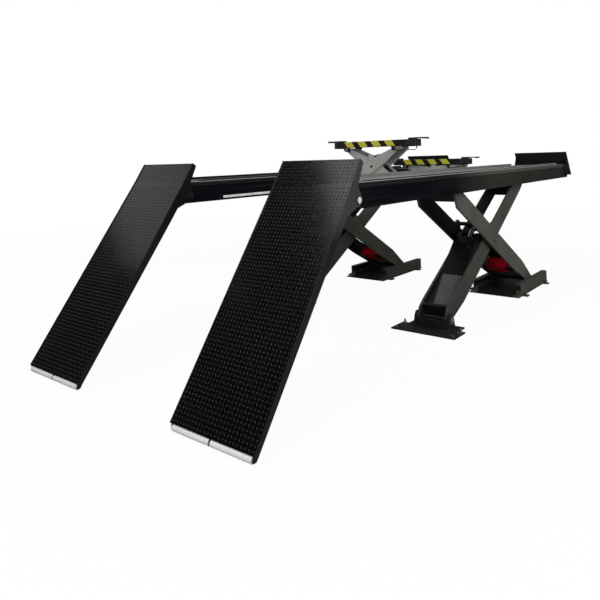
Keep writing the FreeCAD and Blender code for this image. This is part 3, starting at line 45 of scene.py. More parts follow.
camera_data = bpy.data.cameras.new("camera")
camera_data.sensor_width = SENSOR
camera_data.lens = FOCAL
camera_data.shift_x = SHIFT_ACROSS
camera_data.shift_y = SHIFT_UP
camera_data.clip_end = 200
camera = bpy.data.objects.new("camera", camera_data)
bpy.context.scene.collection.objects.link(camera)
back = Vector((math.sin(CAMERA_TURN) * math.cos(CAMERA_TILT),
               -math.cos(CAMERA_TURN) * math.cos(CAMERA_TILT), math.sin(CAMERA_TILT)))
level_right = (-back).cross(Vector((0, 0, 1))).normalized()
level_up = level_right.cross(-back)
right = level_right * math.cos(CAMERA_ROLL) + level_up * math.sin(CAMERA_ROLL)
up = level_up * math.cos(CAMERA_ROLL) - level_right * math.sin(CAMERA_ROLL)
turn = Matrix((right, up, back)).transposed().to_4x4()
camera.matrix_world = Matrix.Translation(CAMERA_PLACE) @ turn
bpy.context.scene.camera = camera

# Studio: an endless white floor and background, white to direct views and dim to mirrored and
# scattered rays, under one very wide soft lamp. Two more beside it give the ramps their
# sheen, one lights the sides and one the fronts.
SKY_LIGHT, SKY_MIRRORED = 0.035, 0.08
FLOOR_HALF = 60.0
FLOOR_COLOUR = (0.93, 0.93, 0.93, 1)
FLOOR_BOUNCE = (0.26, 0.26, 0.26, 1)
FLOOR_GLOW = (0.95, 1.0)
FLOOR_FADE = (4.0, 11.0)
CEILING_LAMP = ((-1.0, 2.2, 6.0), 11.0, 330, (-1.0, 2.2, 0.0))
RIGHT_RAMP_LAMP = ((-0.9, -5.2, 6.0), 3.7, 145, (-0.9, -5.2, 0.0))
LEFT_RAMP_LAMP = ((-7.9, -4.5, 6.0), 3.5, 40, (-7.9, -4.5, 0.0))
SIDE_LAMP = ((7.0, -1.5, 3.0), 4.0, 280, (0.0, -1.0, 1.0))
FRONT_LAMP = ((2.6, -8.5, 2.4), 3.0, 210, (0.0, -1.0, 1.2))

bpy.context.scene.view_settings.view_transform = "Standard"


def add(tree, kind, **values):
    """A new shader node, with the values of its named settings."""
    made = tree.nodes.new("ShaderNode" + kind)
    for name, value in values.items():
        setattr(made, name, value)
    return made


def remap(tree, value, low, high, to_low, to_high):
    """Carries a value from one range to another and keeps it between the ends."""
    made = add(tree, "MapRange")
    for socket, number in (("From Min", low), ("From Max", high),
                           ("To Min", to_low), ("To Max", to_high)):
        made.inputs[socket].default_value = number
    tree.links.new(value, made.inputs["Value"])
    return made.outputs["Result"]


def combine(tree, operation, first, second=0.0):
    """The result of a Math node on one or two sockets or numbers."""
    made = add(tree, "Math", operation=operation)
    for socket, value in zip(made.inputs, (first, second)):
        if isinstance(value, (int, float)):
            socket.default_value = value
        else:
            tree.links.new(value, socket)
    return made.outputs[0]


def mix(tree, share, first, second):
    """A colour between two, each a socket or a plain colour."""
    made = add(tree, "Mix", data_type="RGBA")
    for number, value in ((0, share), (6, first), (7, second)):
        if hasattr(value, "is_linked"):
            tree.links.new(value, made.inputs[number])
        else:
            made.inputs[number].default_value = value
    return made.outputs[2]


world = bpy.data.worlds.new("studio")
bpy.context.scene.world = world
world.use_nodes = True
tree = world.node_tree
sky = tree.nodes["Background"]
sky.inputs["Color"].default_value = (1, 1, 1, 1)
path = add(tree, "LightPath")
mirrored = combine(tree, "MAXIMUM", path.outputs["Is Glossy Ray"],
                   path.outputs["Is Transmission Ray"])
bright = combine(tree, "MAXIMUM", path.outputs["Is Camera Ray"],
                 combine(tree, "MULTIPLY", mirrored, SKY_MIRRORED))
tree.links.new(combine(tree, "MAXIMUM", bright, SKY_LIGHT), sky.inputs["Strength"])

floor_mesh = bpy.data.meshes.new("floor")
floor_mesh.from_pydata([(-FLOOR_HALF, -FLOOR_HALF, 0), (FLOOR_HALF, -FLOOR_HALF, 0),
                        (FLOOR_HALF, FLOOR_HALF, 0), (-FLOOR_HALF, FLOOR_HALF, 0)],
                       [], [(0, 1, 2, 3)])
floor = bpy.data.objects.new("floor", floor_mesh)
bpy.context.scene.collection.objects.link(floor)
floor_paint = bpy.data.materials.new("floor_paint")
floor_paint.use_nodes = True
tree = floor_paint.node_tree
floor_shader = tree.nodes["Principled BSDF"]
floor_shader.inputs["Roughness"].default_value = 0.9
floor_shader.inputs["Specular IOR Level"].default_value = 0.0
glow = add(tree, "Emission")
glow.inputs["Color"].default_value = (1, 1, 1, 1)
away = add(tree, "VectorMath", operation="LENGTH")
tree.links.new(add(tree, "TexCoord").outputs["Object"], away.inputs[0])
direct = add(tree, "LightPath").outputs["Is Camera Ray"]
tree.links.new(mix(tree, direct, FLOOR_BOUNCE, FLOOR_COLOUR), floor_shader.inputs["Base Color"])
share = combine(tree, "MULTIPLY", direct,
                remap(tree, away.outputs["Value"], *FLOOR_FADE, *FLOOR_GLOW))
laid = add(tree, "MixShader")
tree.links.new(share, laid.inputs[0])
tree.links.new(floor_shader.outputs[0], laid.inputs[1])
tree.links.new(glow.outputs[0], laid.inputs[2])
tree.links.new(laid.outputs[0], tree.nodes["Material Output"].inputs["Surface"])
floor_mesh.materials.append(floor_paint)


def soft_lamp(name, place, size, power, target):
    """A square lamp that faces a target."""
    data = bpy.data.lights.new(name, "AREA")
    data.size = size
    data.energy = power
    lamp = bpy.data.objects.new(name, data)
    bpy.context.scene.collection.objects.link(lamp)
    toward = (Vector(target) - Vector(place)).to_track_quat("-Z", "Y")
    lamp.matrix_world = Matrix.Translation(place) @ toward.to_matrix().to_4x4()


soft_lamp("ceiling_lamp", *CEILING_LAMP)
soft_lamp("right_ramp_lamp", *RIGHT_RAMP_LAMP)
soft_lamp("left_ramp_lamp", *LEFT_RAMP_LAMP)
soft_lamp("side_lamp", *SIDE_LAMP)
soft_lamp("front_lamp", *FRONT_LAMP)

# Floor bases: thick floor plates with welded brackets in front and slide rails behind, cut
# from hot-rolled steel. They are powder coated, the front ones near black, partly as painted
# shade from the runways above, and the rear ones olive grey, and gather pale dust. Between the
# rails, painted shade darkens the coat.
SIDES = (("left", -1), ("right", 1))
RUNWAY_X = 0.811
DUST_COLOUR = (0.34, 0.33, 0.30, 1)
# Painted shade: the dark colour laid on faces between plates and rails, where they shade each other.
PAINTED_SHADE = (0.012, 0.012, 0.012, 1)
LOOKS_IN_BELOW, LOOKS_ALONG_BELOW = -0.02, 0.5
BETWEEN_RAILS = 0.200


def noise(tree, where, scale, detail=3.0, roughness=0.55):
    """Cloudy noise of a given scale, read at a place."""
    made = add(tree, "TexNoise")
    made.inputs["Scale"].default_value = scale
    made.inputs["Detail"].default_value = detail
    made.inputs["Roughness"].default_value = roughness
    tree.links.new(where, made.inputs["Vector"])
    return made.outputs["Fac"]


def place_of(tree):
    """The surface's place on the piece, in Object coordinates."""
    return add(tree, "TexCoord").outputs["Object"]


def split(tree, vector):
    """The X, Y and Z of a vector, as sockets."""
    made = add(tree, "SeparateXYZ")
    tree.links.new(vector, made.inputs[0])
    return made.outputs


coat = bpy.data.node_groups.new("powder_coat", "ShaderNodeTree")
for socket, kind in (("Paint", "NodeSocketColor"), ("Rubbed and lit", "NodeSocketColor"),
                     ("Dust", "NodeSocketFloat"), ("Rough", "NodeSocketFloat"),
                     ("Rub and light", "NodeSocketFloat")):
    coat.interface.new_socket(socket, in_out="INPUT", socket_type=kind)
for socket, kind in (("Color", "NodeSocketColor"), ("Roughness", "NodeSocketFloat"),
                     ("Normal", "NodeSocketVector")):
    coat.interface.new_socket(socket, in_out="OUTPUT", socket_type=kind)

coat_in = coat.nodes.new("NodeGroupInput")
coat_out = coat.nodes.new("NodeGroupOutput")
here = place_of(coat)
clouds = noise(coat, here, 2.6, 5.0)
flecks = noise(coat, here, 46.0, 4.0)
surface = add(coat, "NewGeometry")
lying_flat = remap(coat, split(coat, surface.outputs["Normal"])["Z"], 0.6, 1.0, 0.15, 1.0)
patches = combine(coat, "MULTIPLY", remap(coat, clouds, 0.40, 0.70, 0.1, 1.0),
                  remap(coat, flecks, 0.35, 0.75, 0.3, 1.0))
dust = combine(coat, "MULTIPLY", combine(coat, "MULTIPLY", patches, lying_flat),
               coat_in.outputs["Dust"])
# Edges, found with a bevel, take the rubbed colour: worn paint, and where it is pale, a painted
# highlight along them.
rounded = add(coat, "Bevel", samples=4)
rounded.inputs["Radius"].default_value = 0.004
turned_away = add(coat, "VectorMath", operation="DOT_PRODUCT")
coat.links.new(rounded.outputs["Normal"], turned_away.inputs[0])
coat.links.new(surface.outputs["Normal"], turned_away.inputs[1])
edge = remap(coat, turned_away.outputs["Value"], 0.99, 0.82, 0.0, 1.0)
chipped_and_lit = combine(coat, "MULTIPLY", edge, remap(coat, flecks, 0.42, 0.62, 0.15, 1.0))
rub_and_light = combine(coat, "MULTIPLY", chipped_and_lit, coat_in.outputs["Rub and light"])
toned = add(coat, "HueSaturation")
coat.links.new(coat_in.outputs["Paint"], toned.inputs["Color"])
coat.links.new(remap(coat, clouds, 0.3, 0.7, 0.80, 1.20), toned.inputs["Value"])
dusty = mix(coat, dust, toned.outputs["Color"], DUST_COLOUR)
coat.links.new(mix(coat, rub_and_light, dusty, coat_in.outputs["Rubbed and lit"]), coat_out.inputs["Color"])
uneven = combine(coat, "ADD", coat_in.outputs["Rough"], remap(coat, flecks, 0.3, 0.7, -0.05, 0.07))
coat.links.new(combine(coat, "ADD", uneven, combine(coat, "MULTIPLY", dust, 0.6)),
               coat_out.inputs["Roughness"])
peel = add(coat, "Bump")
peel.inputs["Strength"].default_value = 0.12
peel.inputs["Distance"].default_value = 0.0005
coat.links.new(noise(coat, here, 420.0, 2.0), peel.inputs["Height"])
coat.links.new(rounded.outputs["Normal"], peel.inputs["Normal"])
coat.links.new(peel.outputs["Normal"], coat_out.inputs["Normal"])


def painted(name, colour, rough, dusty, specular, rubbed_and_lit=(0.16, 0.16, 0.15, 1), rub_and_light=0.5):
    """A powder-coated finish, whose coat is the node named film."""
    made = bpy.data.materials.new(name)
    made.use_nodes = True
    tree = made.node_tree
    shader = tree.nodes["Principled BSDF"]
    shader.inputs["Specular IOR Level"].default_value = specular
    film = tree.nodes.new("ShaderNodeGroup")
    film.name = "film"
    film.node_tree = coat
    for socket, value in (("Paint", colour), ("Rubbed and lit", rubbed_and_lit), ("Dust", dusty),
                          ("Rough", rough), ("Rub and light", rub_and_light)):
        film.inputs[socket].default_value = value
    tree.links.new(film.outputs["Color"], shader.inputs["Base Color"])
    tree.links.new(film.outputs["Roughness"], shader.inputs["Roughness"])
    tree.links.new(film.outputs["Normal"], shader.inputs["Normal"])
    return made


def lay_over(material, mask, colour):
    """Lays one more colour over a finish, where the mask is 1."""
    tree = material.node_tree
    coloured = tree.nodes["Principled BSDF"].inputs["Base Color"]
    tree.links.new(mix(tree, mask, coloured.links[0].from_socket, colour), coloured)


def side_offset(tree, x):
    """How far a point lies from the middle of its own side, towards greater x."""
    middle = combine(tree, "MULTIPLY", combine(tree, "SIGN", x), RUNWAY_X)
    return combine(tree, "SUBTRACT", x, middle)


def paint_shade_inward(material, between):
    """Lays painted shade over a finish: a dark colour on the faces that look at the middle of
    their own side, and on the level and cross faces that lie between the given half width."""
    tree = material.node_tree
    offset = side_offset(tree, split(tree, place_of(tree))["X"])
    looks = split(tree, add(tree, "NewGeometry").outputs["Normal"])["X"]
    inward = combine(tree, "LESS_THAN", combine(tree, "MULTIPLY", offset, looks), LOOKS_IN_BELOW)
    crossing = combine(tree, "MULTIPLY",
                       combine(tree, "LESS_THAN", combine(tree, "ABSOLUTE", offset), between),
                       combine(tree, "LESS_THAN", combine(tree, "ABSOLUTE", looks), LOOKS_ALONG_BELOW))
    lay_over(material, combine(tree, "MAXIMUM", inward, crossing), PAINTED_SHADE)


def finish_with(material, *nodes):
    """Gives a finish to the named CAD nodes."""
    for name in nodes:
        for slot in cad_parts[name].material_slots:
            slot.material = material


def both(*names):
    """The left and right nodes of each name."""
    return [f"{name}_{side}" for name in names for side, sign in SIDES]


# The front bases' near-black coat is partly painted shade from the runways above them.
base_paint_and_shade = painted("base_paint_and_shade", (0.011, 0.011, 0.010, 1), 0.45, 0.10, 0.09)
rail_paint = painted("rail_paint", (0.078, 0.078, 0.068, 1), 0.42, 0.06, 0.12)
paint_shade_inward(rail_paint, BETWEEN_RAILS)
finish_with(base_paint_and_shade, *both("front_base"))
finish_with(rail_paint, *both("rear_base"))


def skin(rows, columns, close_across, close_along):
    """Quads of a grid of rows by columns, numbered row by row and closed either way."""
    first = np.arange(rows if close_along else rows - 1)
    second = np.arange(columns if close_across else columns - 1)
    row, column = np.meshgrid(first, second, indexing="ij")
    after = (row + 1) % rows
    beside = (column + 1) % columns
    quads = np.stack((row * columns + column, row * columns + beside,
                      after * columns + beside, after * columns + column), axis=-1)
    return quads.reshape(-1, 4)


def made_piece(name, points, faces, material, body, smooth=True):
    """A mesh object from arrays of points and faces, that rides on a body."""
    mesh = bpy.data.meshes.new(name)
    mesh.from_pydata(points.reshape(-1, 3).tolist(), [], faces.tolist())
    mesh.polygons.foreach_set("use_smooth", np.full(len(mesh.polygons), smooth))
    mesh.materials.append(material)
    piece = bpy.data.objects.new(name, mesh)
    bpy.context.scene.collection.objects.link(piece)
    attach(piece, body)
    return piece


def joined(parts):
    """One set of points and faces from several, with the later faces renumbered."""
    points, faces, count = [], [], 0
    for part_points, part_faces in parts:
        part_points = part_points.reshape(-1, 3)
        points.append(part_points)
        faces.append(part_faces + count)
        count += len(part_points)
    return np.concatenate(points), np.concatenate(faces)


def weld_bead(start, end, radius, pitch=0.006, sides=8):
    """A straight weld bead: a circle carried from start to end, its radius rippled by a
    sine of the pitch and drawn in to nothing at both ends."""
    start, end = np.array(start, float), np.array(end, float)
    length = np.linalg.norm(end - start)
    along = (end - start) / length
    side = np.cross(along, (0.31, 0.52, 0.79))
    side /= np.linalg.norm(side)
    other = np.cross(along, side)
    steps = max(8, int(length / pitch * 2))
    share = np.linspace(0, 1, steps + 1)
    swell = radius * (1 + 0.14 * np.sin(2 * np.pi * share * length / pitch))
    swell *= np.clip(np.minimum(share, 1 - share) * length / (1.5 * radius), 0, 1) ** 0.5
    angle = np.arange(sides) * 2 * np.pi / sides
    ring = np.cos(angle)[:, None] * side + np.sin(angle)[:, None] * other
    points = start + share[:, None, None] * (end - start) + swell[:, None, None] * ring
    return points, skin(steps + 1, sides, True, False)


# The bases' welds: steel beads where the pin brackets and the slide rails stand on the
# plates, in the same coat as the front bases.
MIDDLE_Y = 2.0824458
FRONT_PIN_Y = 1.695 - MIDDLE_Y
BASE_TOP = 0.012
BRACKET_FACES, BRACKET_FOOT = (0.141, 0.163), 0.078
RAIL_FACES = (0.207, 0.262)
REAR_RAIL_Y = (FRONT_PIN_Y + 1.510, FRONT_PIN_Y + 2.392)
BRACKET_RUN = (FRONT_PIN_Y - BRACKET_FOOT, FRONT_PIN_Y + BRACKET_FOOT)

for side, sign in SIDES:
    beads = []
    for mark in (-1, 1):
        for faces, (first, last), bead in ((BRACKET_FACES, BRACKET_RUN, (0.0045, 0.006, 8)),
                                           (RAIL_FACES, REAR_RAIL_Y, (0.004, 0.012, 6))):
            for across in faces:
                x = sign * RUNWAY_X + mark * across
                beads.append(weld_bead((x, first, BASE_TOP), (x, last, BASE_TOP), *bead))
    made_piece(f"base_welds_{side}", *joined(beads), base_paint_and_shade, "floor_bases")

# Levelling bolts and anchor bolts: zinc-plated, each with a washer, a hexagon head and a
# domed end. The levelling bolts are CAD solids, and the anchors stand in the plates' holes.
ANCHOR_HEAD, ANCHOR_WASHER = 0.0135, 0.019


def zinc(name, colour, rough, dulled=0.62, scale=60.0, metal=1.0):
    """Bright plated steel: pale blue-grey, with cloudy spangle and dulled patches."""
    made = bpy.data.materials.new(name)
    made.use_nodes = True
    tree = made.node_tree
    shader = tree.nodes["Principled BSDF"]
    shader.inputs["Metallic"].default_value = metal
    where = add(tree, "TexCoord").outputs["Object"]
    cloud = noise(tree, where, scale, 4.0)
    dull = tuple(part * dulled for part in colour[:3]) + (1,)
    tree.links.new(mix(tree, remap(tree, cloud, 0.4, 0.7, 0, 1), colour, dull),
                   shader.inputs["Base Color"])
    tree.links.new(remap(tree, cloud, 0.3, 0.7, rough, rough + 0.18), shader.inputs["Roughness"])
    return made


zinc_bolt = zinc("zinc_bolt", (0.42, 0.43, 0.42, 1), 0.34)
anchor_zinc = zinc("anchor_zinc", (0.17, 0.17, 0.16, 1), 0.42)
finish_with(zinc_bolt, "levelling_bolts")


def turned_shape(profile, centre, axis, sides, lean=0.0):
    """A lathe shape: each (along, radius) of the profile carried round the axis. The ends
    close on the axis itself where their radius is nothing."""
    axis = np.array(axis, float) / np.linalg.norm(axis)
    side = np.cross(axis, (0, 0, 1) if abs(axis[2]) < 0.9 else (1, 0, 0))
    side /= np.linalg.norm(side)
    other = np.cross(axis, side)
    angle = np.arange(sides) * 2 * np.pi / sides + lean
    ring = np.cos(angle)[:, None] * side + np.sin(angle)[:, None] * other
    along, radius = np.array(profile, float).T
    points = np.array(centre, float) + along[:, None, None] * axis + radius[:, None, None] * ring
    return points, skin(len(profile), sides, True, False)


def bolt_head(centre, axis, radius, washer):
    """A washer, a hexagon head with a chamfered top, and the domed end of the thread."""
    disc = turned_shape([(0, 0), (0, washer), (0.0022, washer), (0.0025, washer * 0.97),
                         (0.0025, 0)], centre, axis, 28)
    high = radius * 0.62
    head = turned_shape([(0.002, 0), (0.002, radius), (0.002 + high * 0.86, radius),
                         (0.002 + high, radius * 0.86), (0.002 + high, 0)], centre, axis, 6)
    end = turned_shape([(0.001, radius * 0.58), (high + 0.004, radius * 0.58),
                        (high + 0.006, radius * 0.46), (high + 0.007, 0)], centre, axis, 16)
    return [disc, head, end]


ANCHOR_X, REAR_ANCHOR_X = 0.264, 0.290
ANCHOR_Y = (0.040 - 0.239, 0.140 - 0.239)
REAR_ANCHOR_Y = (1.405 + 0.110 + 0.035, 2.3977 - 0.110 - 0.035)
for side, sign in SIDES:
    bolts = []
    for mark in (-1, 1):
        for across, places in ((ANCHOR_X, ANCHOR_Y), (REAR_ANCHOR_X, REAR_ANCHOR_Y)):
            for y in places:
                centre = (sign * RUNWAY_X + mark * across, FRONT_PIN_Y + y, BASE_TOP)
                bolts += bolt_head(centre, (0, 0, 1), ANCHOR_HEAD, ANCHOR_WASHER)
    made_piece(f"anchor_bolts_{side}", *joined(bolts), anchor_zinc, "floor_bases", smooth=False)

# Foot guards: a flat plate between each front base's brackets, ahead of the leg's foot,
# with its upper edge turned back. Sheet steel, coated with the base and welded at its ends.
GUARD_HALF, GUARD_TOP, GUARD_SHEET = 0.1405, 0.086, 0.003
GUARD_FRONT, GUARD_BACK = -0.072, -0.056
GUARD_SECTION = ((GUARD_FRONT, BASE_TOP), (GUARD_FRONT, GUARD_TOP), (GUARD_BACK, GUARD_TOP),
                 (GUARD_BACK, GUARD_TOP - GUARD_SHEET),
                 (GUARD_FRONT + GUARD_SHEET, GUARD_TOP - GUARD_SHEET),
                 (GUARD_FRONT + GUARD_SHEET, BASE_TOP))
ANGLE_ENDS = ((0, 1, 4, 5), (1, 2, 3, 4))


def folded_sheet(rings, ends):
    """A folded sheet: its section carried through the rings. The corners of the flat faces at
    the first end are given, and the last end has the same, turned round."""
    rings, ends = np.array(rings, float), np.array(ends)
    rows, corners = rings.shape[:2]
    last = ends[:, ::-1] + corners * (rows - 1)
    return rings, np.concatenate((skin(rows, corners, True, False), ends, last))


for side, sign in SIDES:
    rings = [[(sign * RUNWAY_X + across, FRONT_PIN_Y + along, up) for along, up in GUARD_SECTION]
             for across in (-GUARD_HALF, GUARD_HALF)]
    made_piece(f"foot_guard_{side}", *folded_sheet(rings, ANGLE_ENDS), base_paint_and_shade, "floor_bases",
               smooth=False)

# Scissor legs: welded from plate, coated in the olive grey, with painted shade between the
# plates and pale edges that are rubbed paint and painted highlight. The inner leg is a channel
# with a fork, darker towards the floor, and holds the cylinder's cover sheet. The outer leg is
# two plates with a head box, a tie and the lock's shelf.
REST_ANGLE = math.radians(29.25)
LEG_HALF, LEG_DEEP = 1.1635, 0.088
FOOT_PIN_Z = 0.085
CENTRE_Y = FRONT_PIN_Y + LEG_HALF * math.cos(REST_ANGLE)
CENTRE_Z = FOOT_PIN_Z + LEG_HALF * math.sin(REST_ANGLE)
LEG_GREY = (0.098, 0.100, 0.085, 1)
FOOT_GREY = (0.034, 0.036, 0.032, 1)
DARKER_BELOW = (0.10, 0.95)
# Pale edge colour of the legs: rubbed paint, and a painted highlight along their edges.
EDGE_RUB_AND_HIGHLIGHT = (0.30, 0.30, 0.29, 1)
BETWEEN_OUTER, BETWEEN_INNER = 0.172, 0.116
leg_paint = painted("leg_paint", LEG_GREY, 0.40, 0.14, 0.14, EDGE_RUB_AND_HIGHLIGHT, 0.8)
inner_leg_paint = painted("inner_leg_paint", LEG_GREY, 0.40, 0.14, 0.14, EDGE_RUB_AND_HIGHLIGHT, 0.8)
paint_shade_inward(leg_paint, BETWEEN_OUTER)
paint_shade_inward(inner_leg_paint, BETWEEN_INNER)
# The inner leg's paint gets darker towards the floor.
tree = inner_leg_paint.node_tree
lighter_upward = remap(tree, split(tree, place_of(tree))["Z"], *DARKER_BELOW, 0.0, 1.0)
tree.links.new(mix(tree, lighter_upward, FOOT_GREY, LEG_GREY), tree.nodes["film"].inputs["Paint"])
finish_with(leg_paint, *both("outer_leg"))
finish_with(inner_leg_paint, *both("inner_leg"))

# Cylinder covers: grey sheet with pale edges as painted highlight, and a slanting strip along one side
# painted black as painted shade in the gap beside the cover.
COVER_TOP_Y = CENTRE_Y - 0.650 * math.cos(REST_ANGLE)
COVER_RUN = 0.412 * math.cos(REST_ANGLE)
COVER_SLANT = (-0.040, -0.100)
COVER_PAINTED_SHADE = (0.008, 0.008, 0.009, 1)
cover_paint = painted("cover_paint", (0.090, 0.090, 0.098, 1), 0.45, 0.10, 0.18,
                      (0.40, 0.40, 0.42, 1), 0.8)
tree = cover_paint.node_tree
where = split(tree, place_of(tree))
slant = remap(tree, where["Y"], COVER_TOP_Y - COVER_RUN, COVER_TOP_Y, *COVER_SLANT)
lay_over(cover_paint, combine(tree, "LESS_THAN", side_offset(tree, where["X"]), slant), COVER_PAINTED_SHADE)
finish_with(cover_paint, *both("cylinder_cover"))


def at_rest(sign, pin, turn, points):
    """Carries points (across, along, up), measured from a pin, to their place at rest: turned
    about the pin in the side view, and moved out to the middle of their side."""
    across, along, up = np.moveaxis(np.array(points, float), -1, 0)
    return np.stack((sign * RUNWAY_X + across,
                     pin[0] + along * math.cos(turn) - up * math.sin(turn),
                     pin[1] + along * math.sin(turn) + up * math.cos(turn)), axis=-1)


LEG_PIN = (CENTRE_Y, CENTRE_Z)
LEG_BEAD = 0.004
WEB_TOP = 0.012 - LEG_DEEP
SHELF_UNDER = 0.008 - LEG_DEEP
INNER_IN, OUTER_IN = 0.117, 0.173
INNER_RUNS = (((-1.035, WEB_TOP), (0.145, WEB_TOP)), ((-1.08, -0.02), (-1.08, WEB_TOP + 0.016)),
              ((0.94, -0.080), (0.94, 0.080)), ((1.075, -0.080), (1.075, 0.06)))
OUTER_RUNS = (((-1.058, -0.016), (-1.058, 0.074)), ((-0.920, -0.016), (-0.920, 0.074)),
              ((0.595, SHELF_UNDER), (0.765, SHELF_UNDER)),
              ((0.960, -0.046), (0.960, 0.018)), ((1.050, -0.046), (1.050, 0.018)))
for side, sign in SIDES:
    for leg, turn, half, runs, paint in (
            ("inner", REST_ANGLE, INNER_IN, INNER_RUNS, inner_leg_paint),
            ("outer", -REST_ANGLE, OUTER_IN, OUTER_RUNS, leg_paint)):
        beads = [weld_bead(*at_rest(sign, LEG_PIN, turn, [(mark * half, *end) for end in run]), LEG_BEAD)
                 for mark in (-1, 1) for run in runs]
        made_piece(f"{leg}_leg_welds_{side}", *joined(beads), paint, f"{leg}_legs_{side}")

# Leg pins: turned steel shafts with flat heads, coated together with the legs. A keeper cap on
# each head is left bright, with a grease nipple beside it, and the centre pin has a black washer.
KEEPER_CAP = ((0, 0), (0, 0.012), (0.003, 0.012), (0.0055, 0.0096), (0.0068, 0.0048), (0.007, 0))
NIPPLE = ((0, 0.0035), (0.004, 0.0035), (0.0045, 0.002), (0.0065, 0.003), (0.008, 0.0015),
          (0.0082, 0))
PIN_WASHER = ((-0.0002, 0), (-0.0002, 0.022), (0.0012, 0.022), (0.0012, 0))
NIPPLE_BESIDE = (0, 0.020, -0.012)
PIN_HEAD = 0.008 + 0.0003
CENTRE_HEAD, FOOT_HEAD = 0.195 + PIN_HEAD, BRACKET_FACES[1] + PIN_HEAD
finish_with(leg_paint, *both("centre_pin", "inner_leg_shafts", "outer_leg_shafts"))


def keeper_bolt(centre, outward):
    """A round keeper cap with a crowned top, and a small nipple beside it."""
    beside = np.add(centre, NIPPLE_BESIDE)
    return [turned_shape(KEEPER_CAP, centre, (outward, 0, 0), 24),
            turned_shape(NIPPLE, beside, (outward, 0, 0), 10)]


for side, sign in SIDES:
    centre_caps, foot_caps, washers = [], [], []
    for mark in (-1, 1):
        head = (sign * RUNWAY_X + mark * CENTRE_HEAD, CENTRE_Y, CENTRE_Z)
        centre_caps += keeper_bolt(head, mark)
        washers.append(turned_shape(PIN_WASHER, head, (mark, 0, 0), 28))
        foot_caps += keeper_bolt((sign * RUNWAY_X + mark * FOOT_HEAD, FRONT_PIN_Y, FOOT_PIN_Z), mark)
    made_piece(f"centre_pin_washers_{side}", *joined(washers), base_paint_and_shade, f"outer_legs_{side}")
    made_piece(f"centre_pin_keepers_{side}", *joined(centre_caps), zinc_bolt, f"outer_legs_{side}")
    made_piece(f"foot_pin_keepers_{side}", *joined(foot_caps), zinc_bolt, f"inner_legs_{side}")

# Slide blocks: dark moulded nylon with sawn sides, that run in the bases' rails below and in
# the runways' tracks above.
NYLON_DARK, NYLON_PALE = (0.018, 0.018, 0.019, 1), (0.035, 0.035, 0.036, 1)
nylon = bpy.data.materials.new("slide_nylon")
nylon.use_nodes = True
tree = nylon.node_tree
nylon_shader = tree.nodes["Principled BSDF"]
nylon_shader.inputs["Specular IOR Level"].default_value = 0.35
grain = noise(tree, place_of(tree), 180.0)
tree.links.new(mix(tree, remap(tree, grain, 0.3, 0.7, 0, 1), NYLON_DARK, NYLON_PALE),
               nylon_shader.inputs["Base Color"])
tree.links.new(remap(tree, grain, 0.3, 0.7, 0.42, 0.62), nylon_shader.inputs["Roughness"])
finish_with(nylon, *both("foot_slides", "head_slides"))

# Safety lock box: pressed steel, coated in deep red, on the shelf of each outer leg. Four
# small screws hold its lid and a red lip laps over the shelf's edge. A black sheet over its
# front stands for the shade on the box's top and in the gap above it.
LOCK_HALF, SHADE_SHEET_HALF = 0.102, 0.1155
SHADE_SHEET = ((0.655, 0.0525), (0.655, 0.0545), (0.400, 0.0880), (0.400, 0.0860))
SHADE_SHEET_FRONT = ((0.5900, 0.0200), (0.5900, 0.0625), (0.5930, 0.0625), (0.5930, 0.0200))
LIP_FRONT = ((0.5940, -0.0895), (0.5940, -0.0450), (0.5948, -0.0450), (0.5948, -0.0895))
LIP_UNDER = ((0.5940, -0.0895), (0.5940, -0.0885), (0.7000, -0.0885), (0.7000, -0.0895))
LID_SCREW = ((-0.001, 0), (-0.001, 0.007), (0.002, 0.0066), (0.0035, 0.004), (0.004, 0))
LID_SCREWS = [(across, along, 0.052) for across in (-0.060, 0.060) for along in (0.675, 0.710)]
OUTER_UP = (0, math.sin(REST_ANGLE), math.cos(REST_ANGLE))
lock_paint = painted("lock_paint", (0.46, 0.002, 0.012, 1), 0.36, 0.02, 0.08,
                     (0.40, 0.06, 0.06, 1), 0.5)
# Black paint of the sheet that stands for shade over the lock box.
shade_sheet_paint = painted("shade_sheet_paint", (0.010, 0.011, 0.010, 1), 0.40, 0.05, 0.12)
finish_with(lock_paint, *both("lock_box"))


def leg_sheet(sign, turn, rows, ends):
    """A folded sheet on a leg, from rows of points (across, along, up)."""
    return folded_sheet(at_rest(sign, LEG_PIN, turn, rows), ends)


def cross_bar(sign, outline, half):
    """A flat bar across an outer leg: four (along, up) corners carried from side to side."""
    rows = [[(across, *corner) for corner in outline] for across in (-half, half)]
    return leg_sheet(sign, -REST_ANGLE, rows, [(3, 2, 1, 0)])


for side, sign in SIDES:
    screws = [turned_shape(LID_SCREW, centre, OUTER_UP, 14)
              for centre in at_rest(sign, LEG_PIN, -REST_ANGLE, LID_SCREWS)]
    made_piece(f"lock_screws_{side}", *joined(screws), zinc_bolt, f"outer_legs_{side}")
    for name, outlines, half, paint in (
            ("lock_shade_sheet", (SHADE_SHEET, SHADE_SHEET_FRONT), SHADE_SHEET_HALF, shade_sheet_paint),
            ("lock_lip", (LIP_FRONT, LIP_UNDER), LOCK_HALF, lock_paint)):
        bars = [cross_bar(sign, outline, half) for outline in outlines]
        made_piece(f"{name}_{side}", *joined(bars), paint, f"outer_legs_{side}", smooth=False)

# Lifting cylinders: gloss black barrels with a hard-chromed rod, whose saddle pushes on the
# outer leg's crank shaft. They lie inside the inner legs, under a cover sheet.
barrel_paint = painted("barrel_paint", (0.012, 0.012, 0.013, 1), 0.20, 0.06, 0.30)
finish_with(barrel_paint, *both("cylinder"), "front_jack_ram", "rear_jack_ram")


def stretched(tree, scale):
    """Object coordinates scaled along each axis, so that noise on them runs in streaks."""
    made = add(tree, "Mapping")
    made.inputs["Scale"].default_value = scale
    tree.links.new(place_of(tree), made.inputs["Vector"])
    return made.outputs["Vector"]


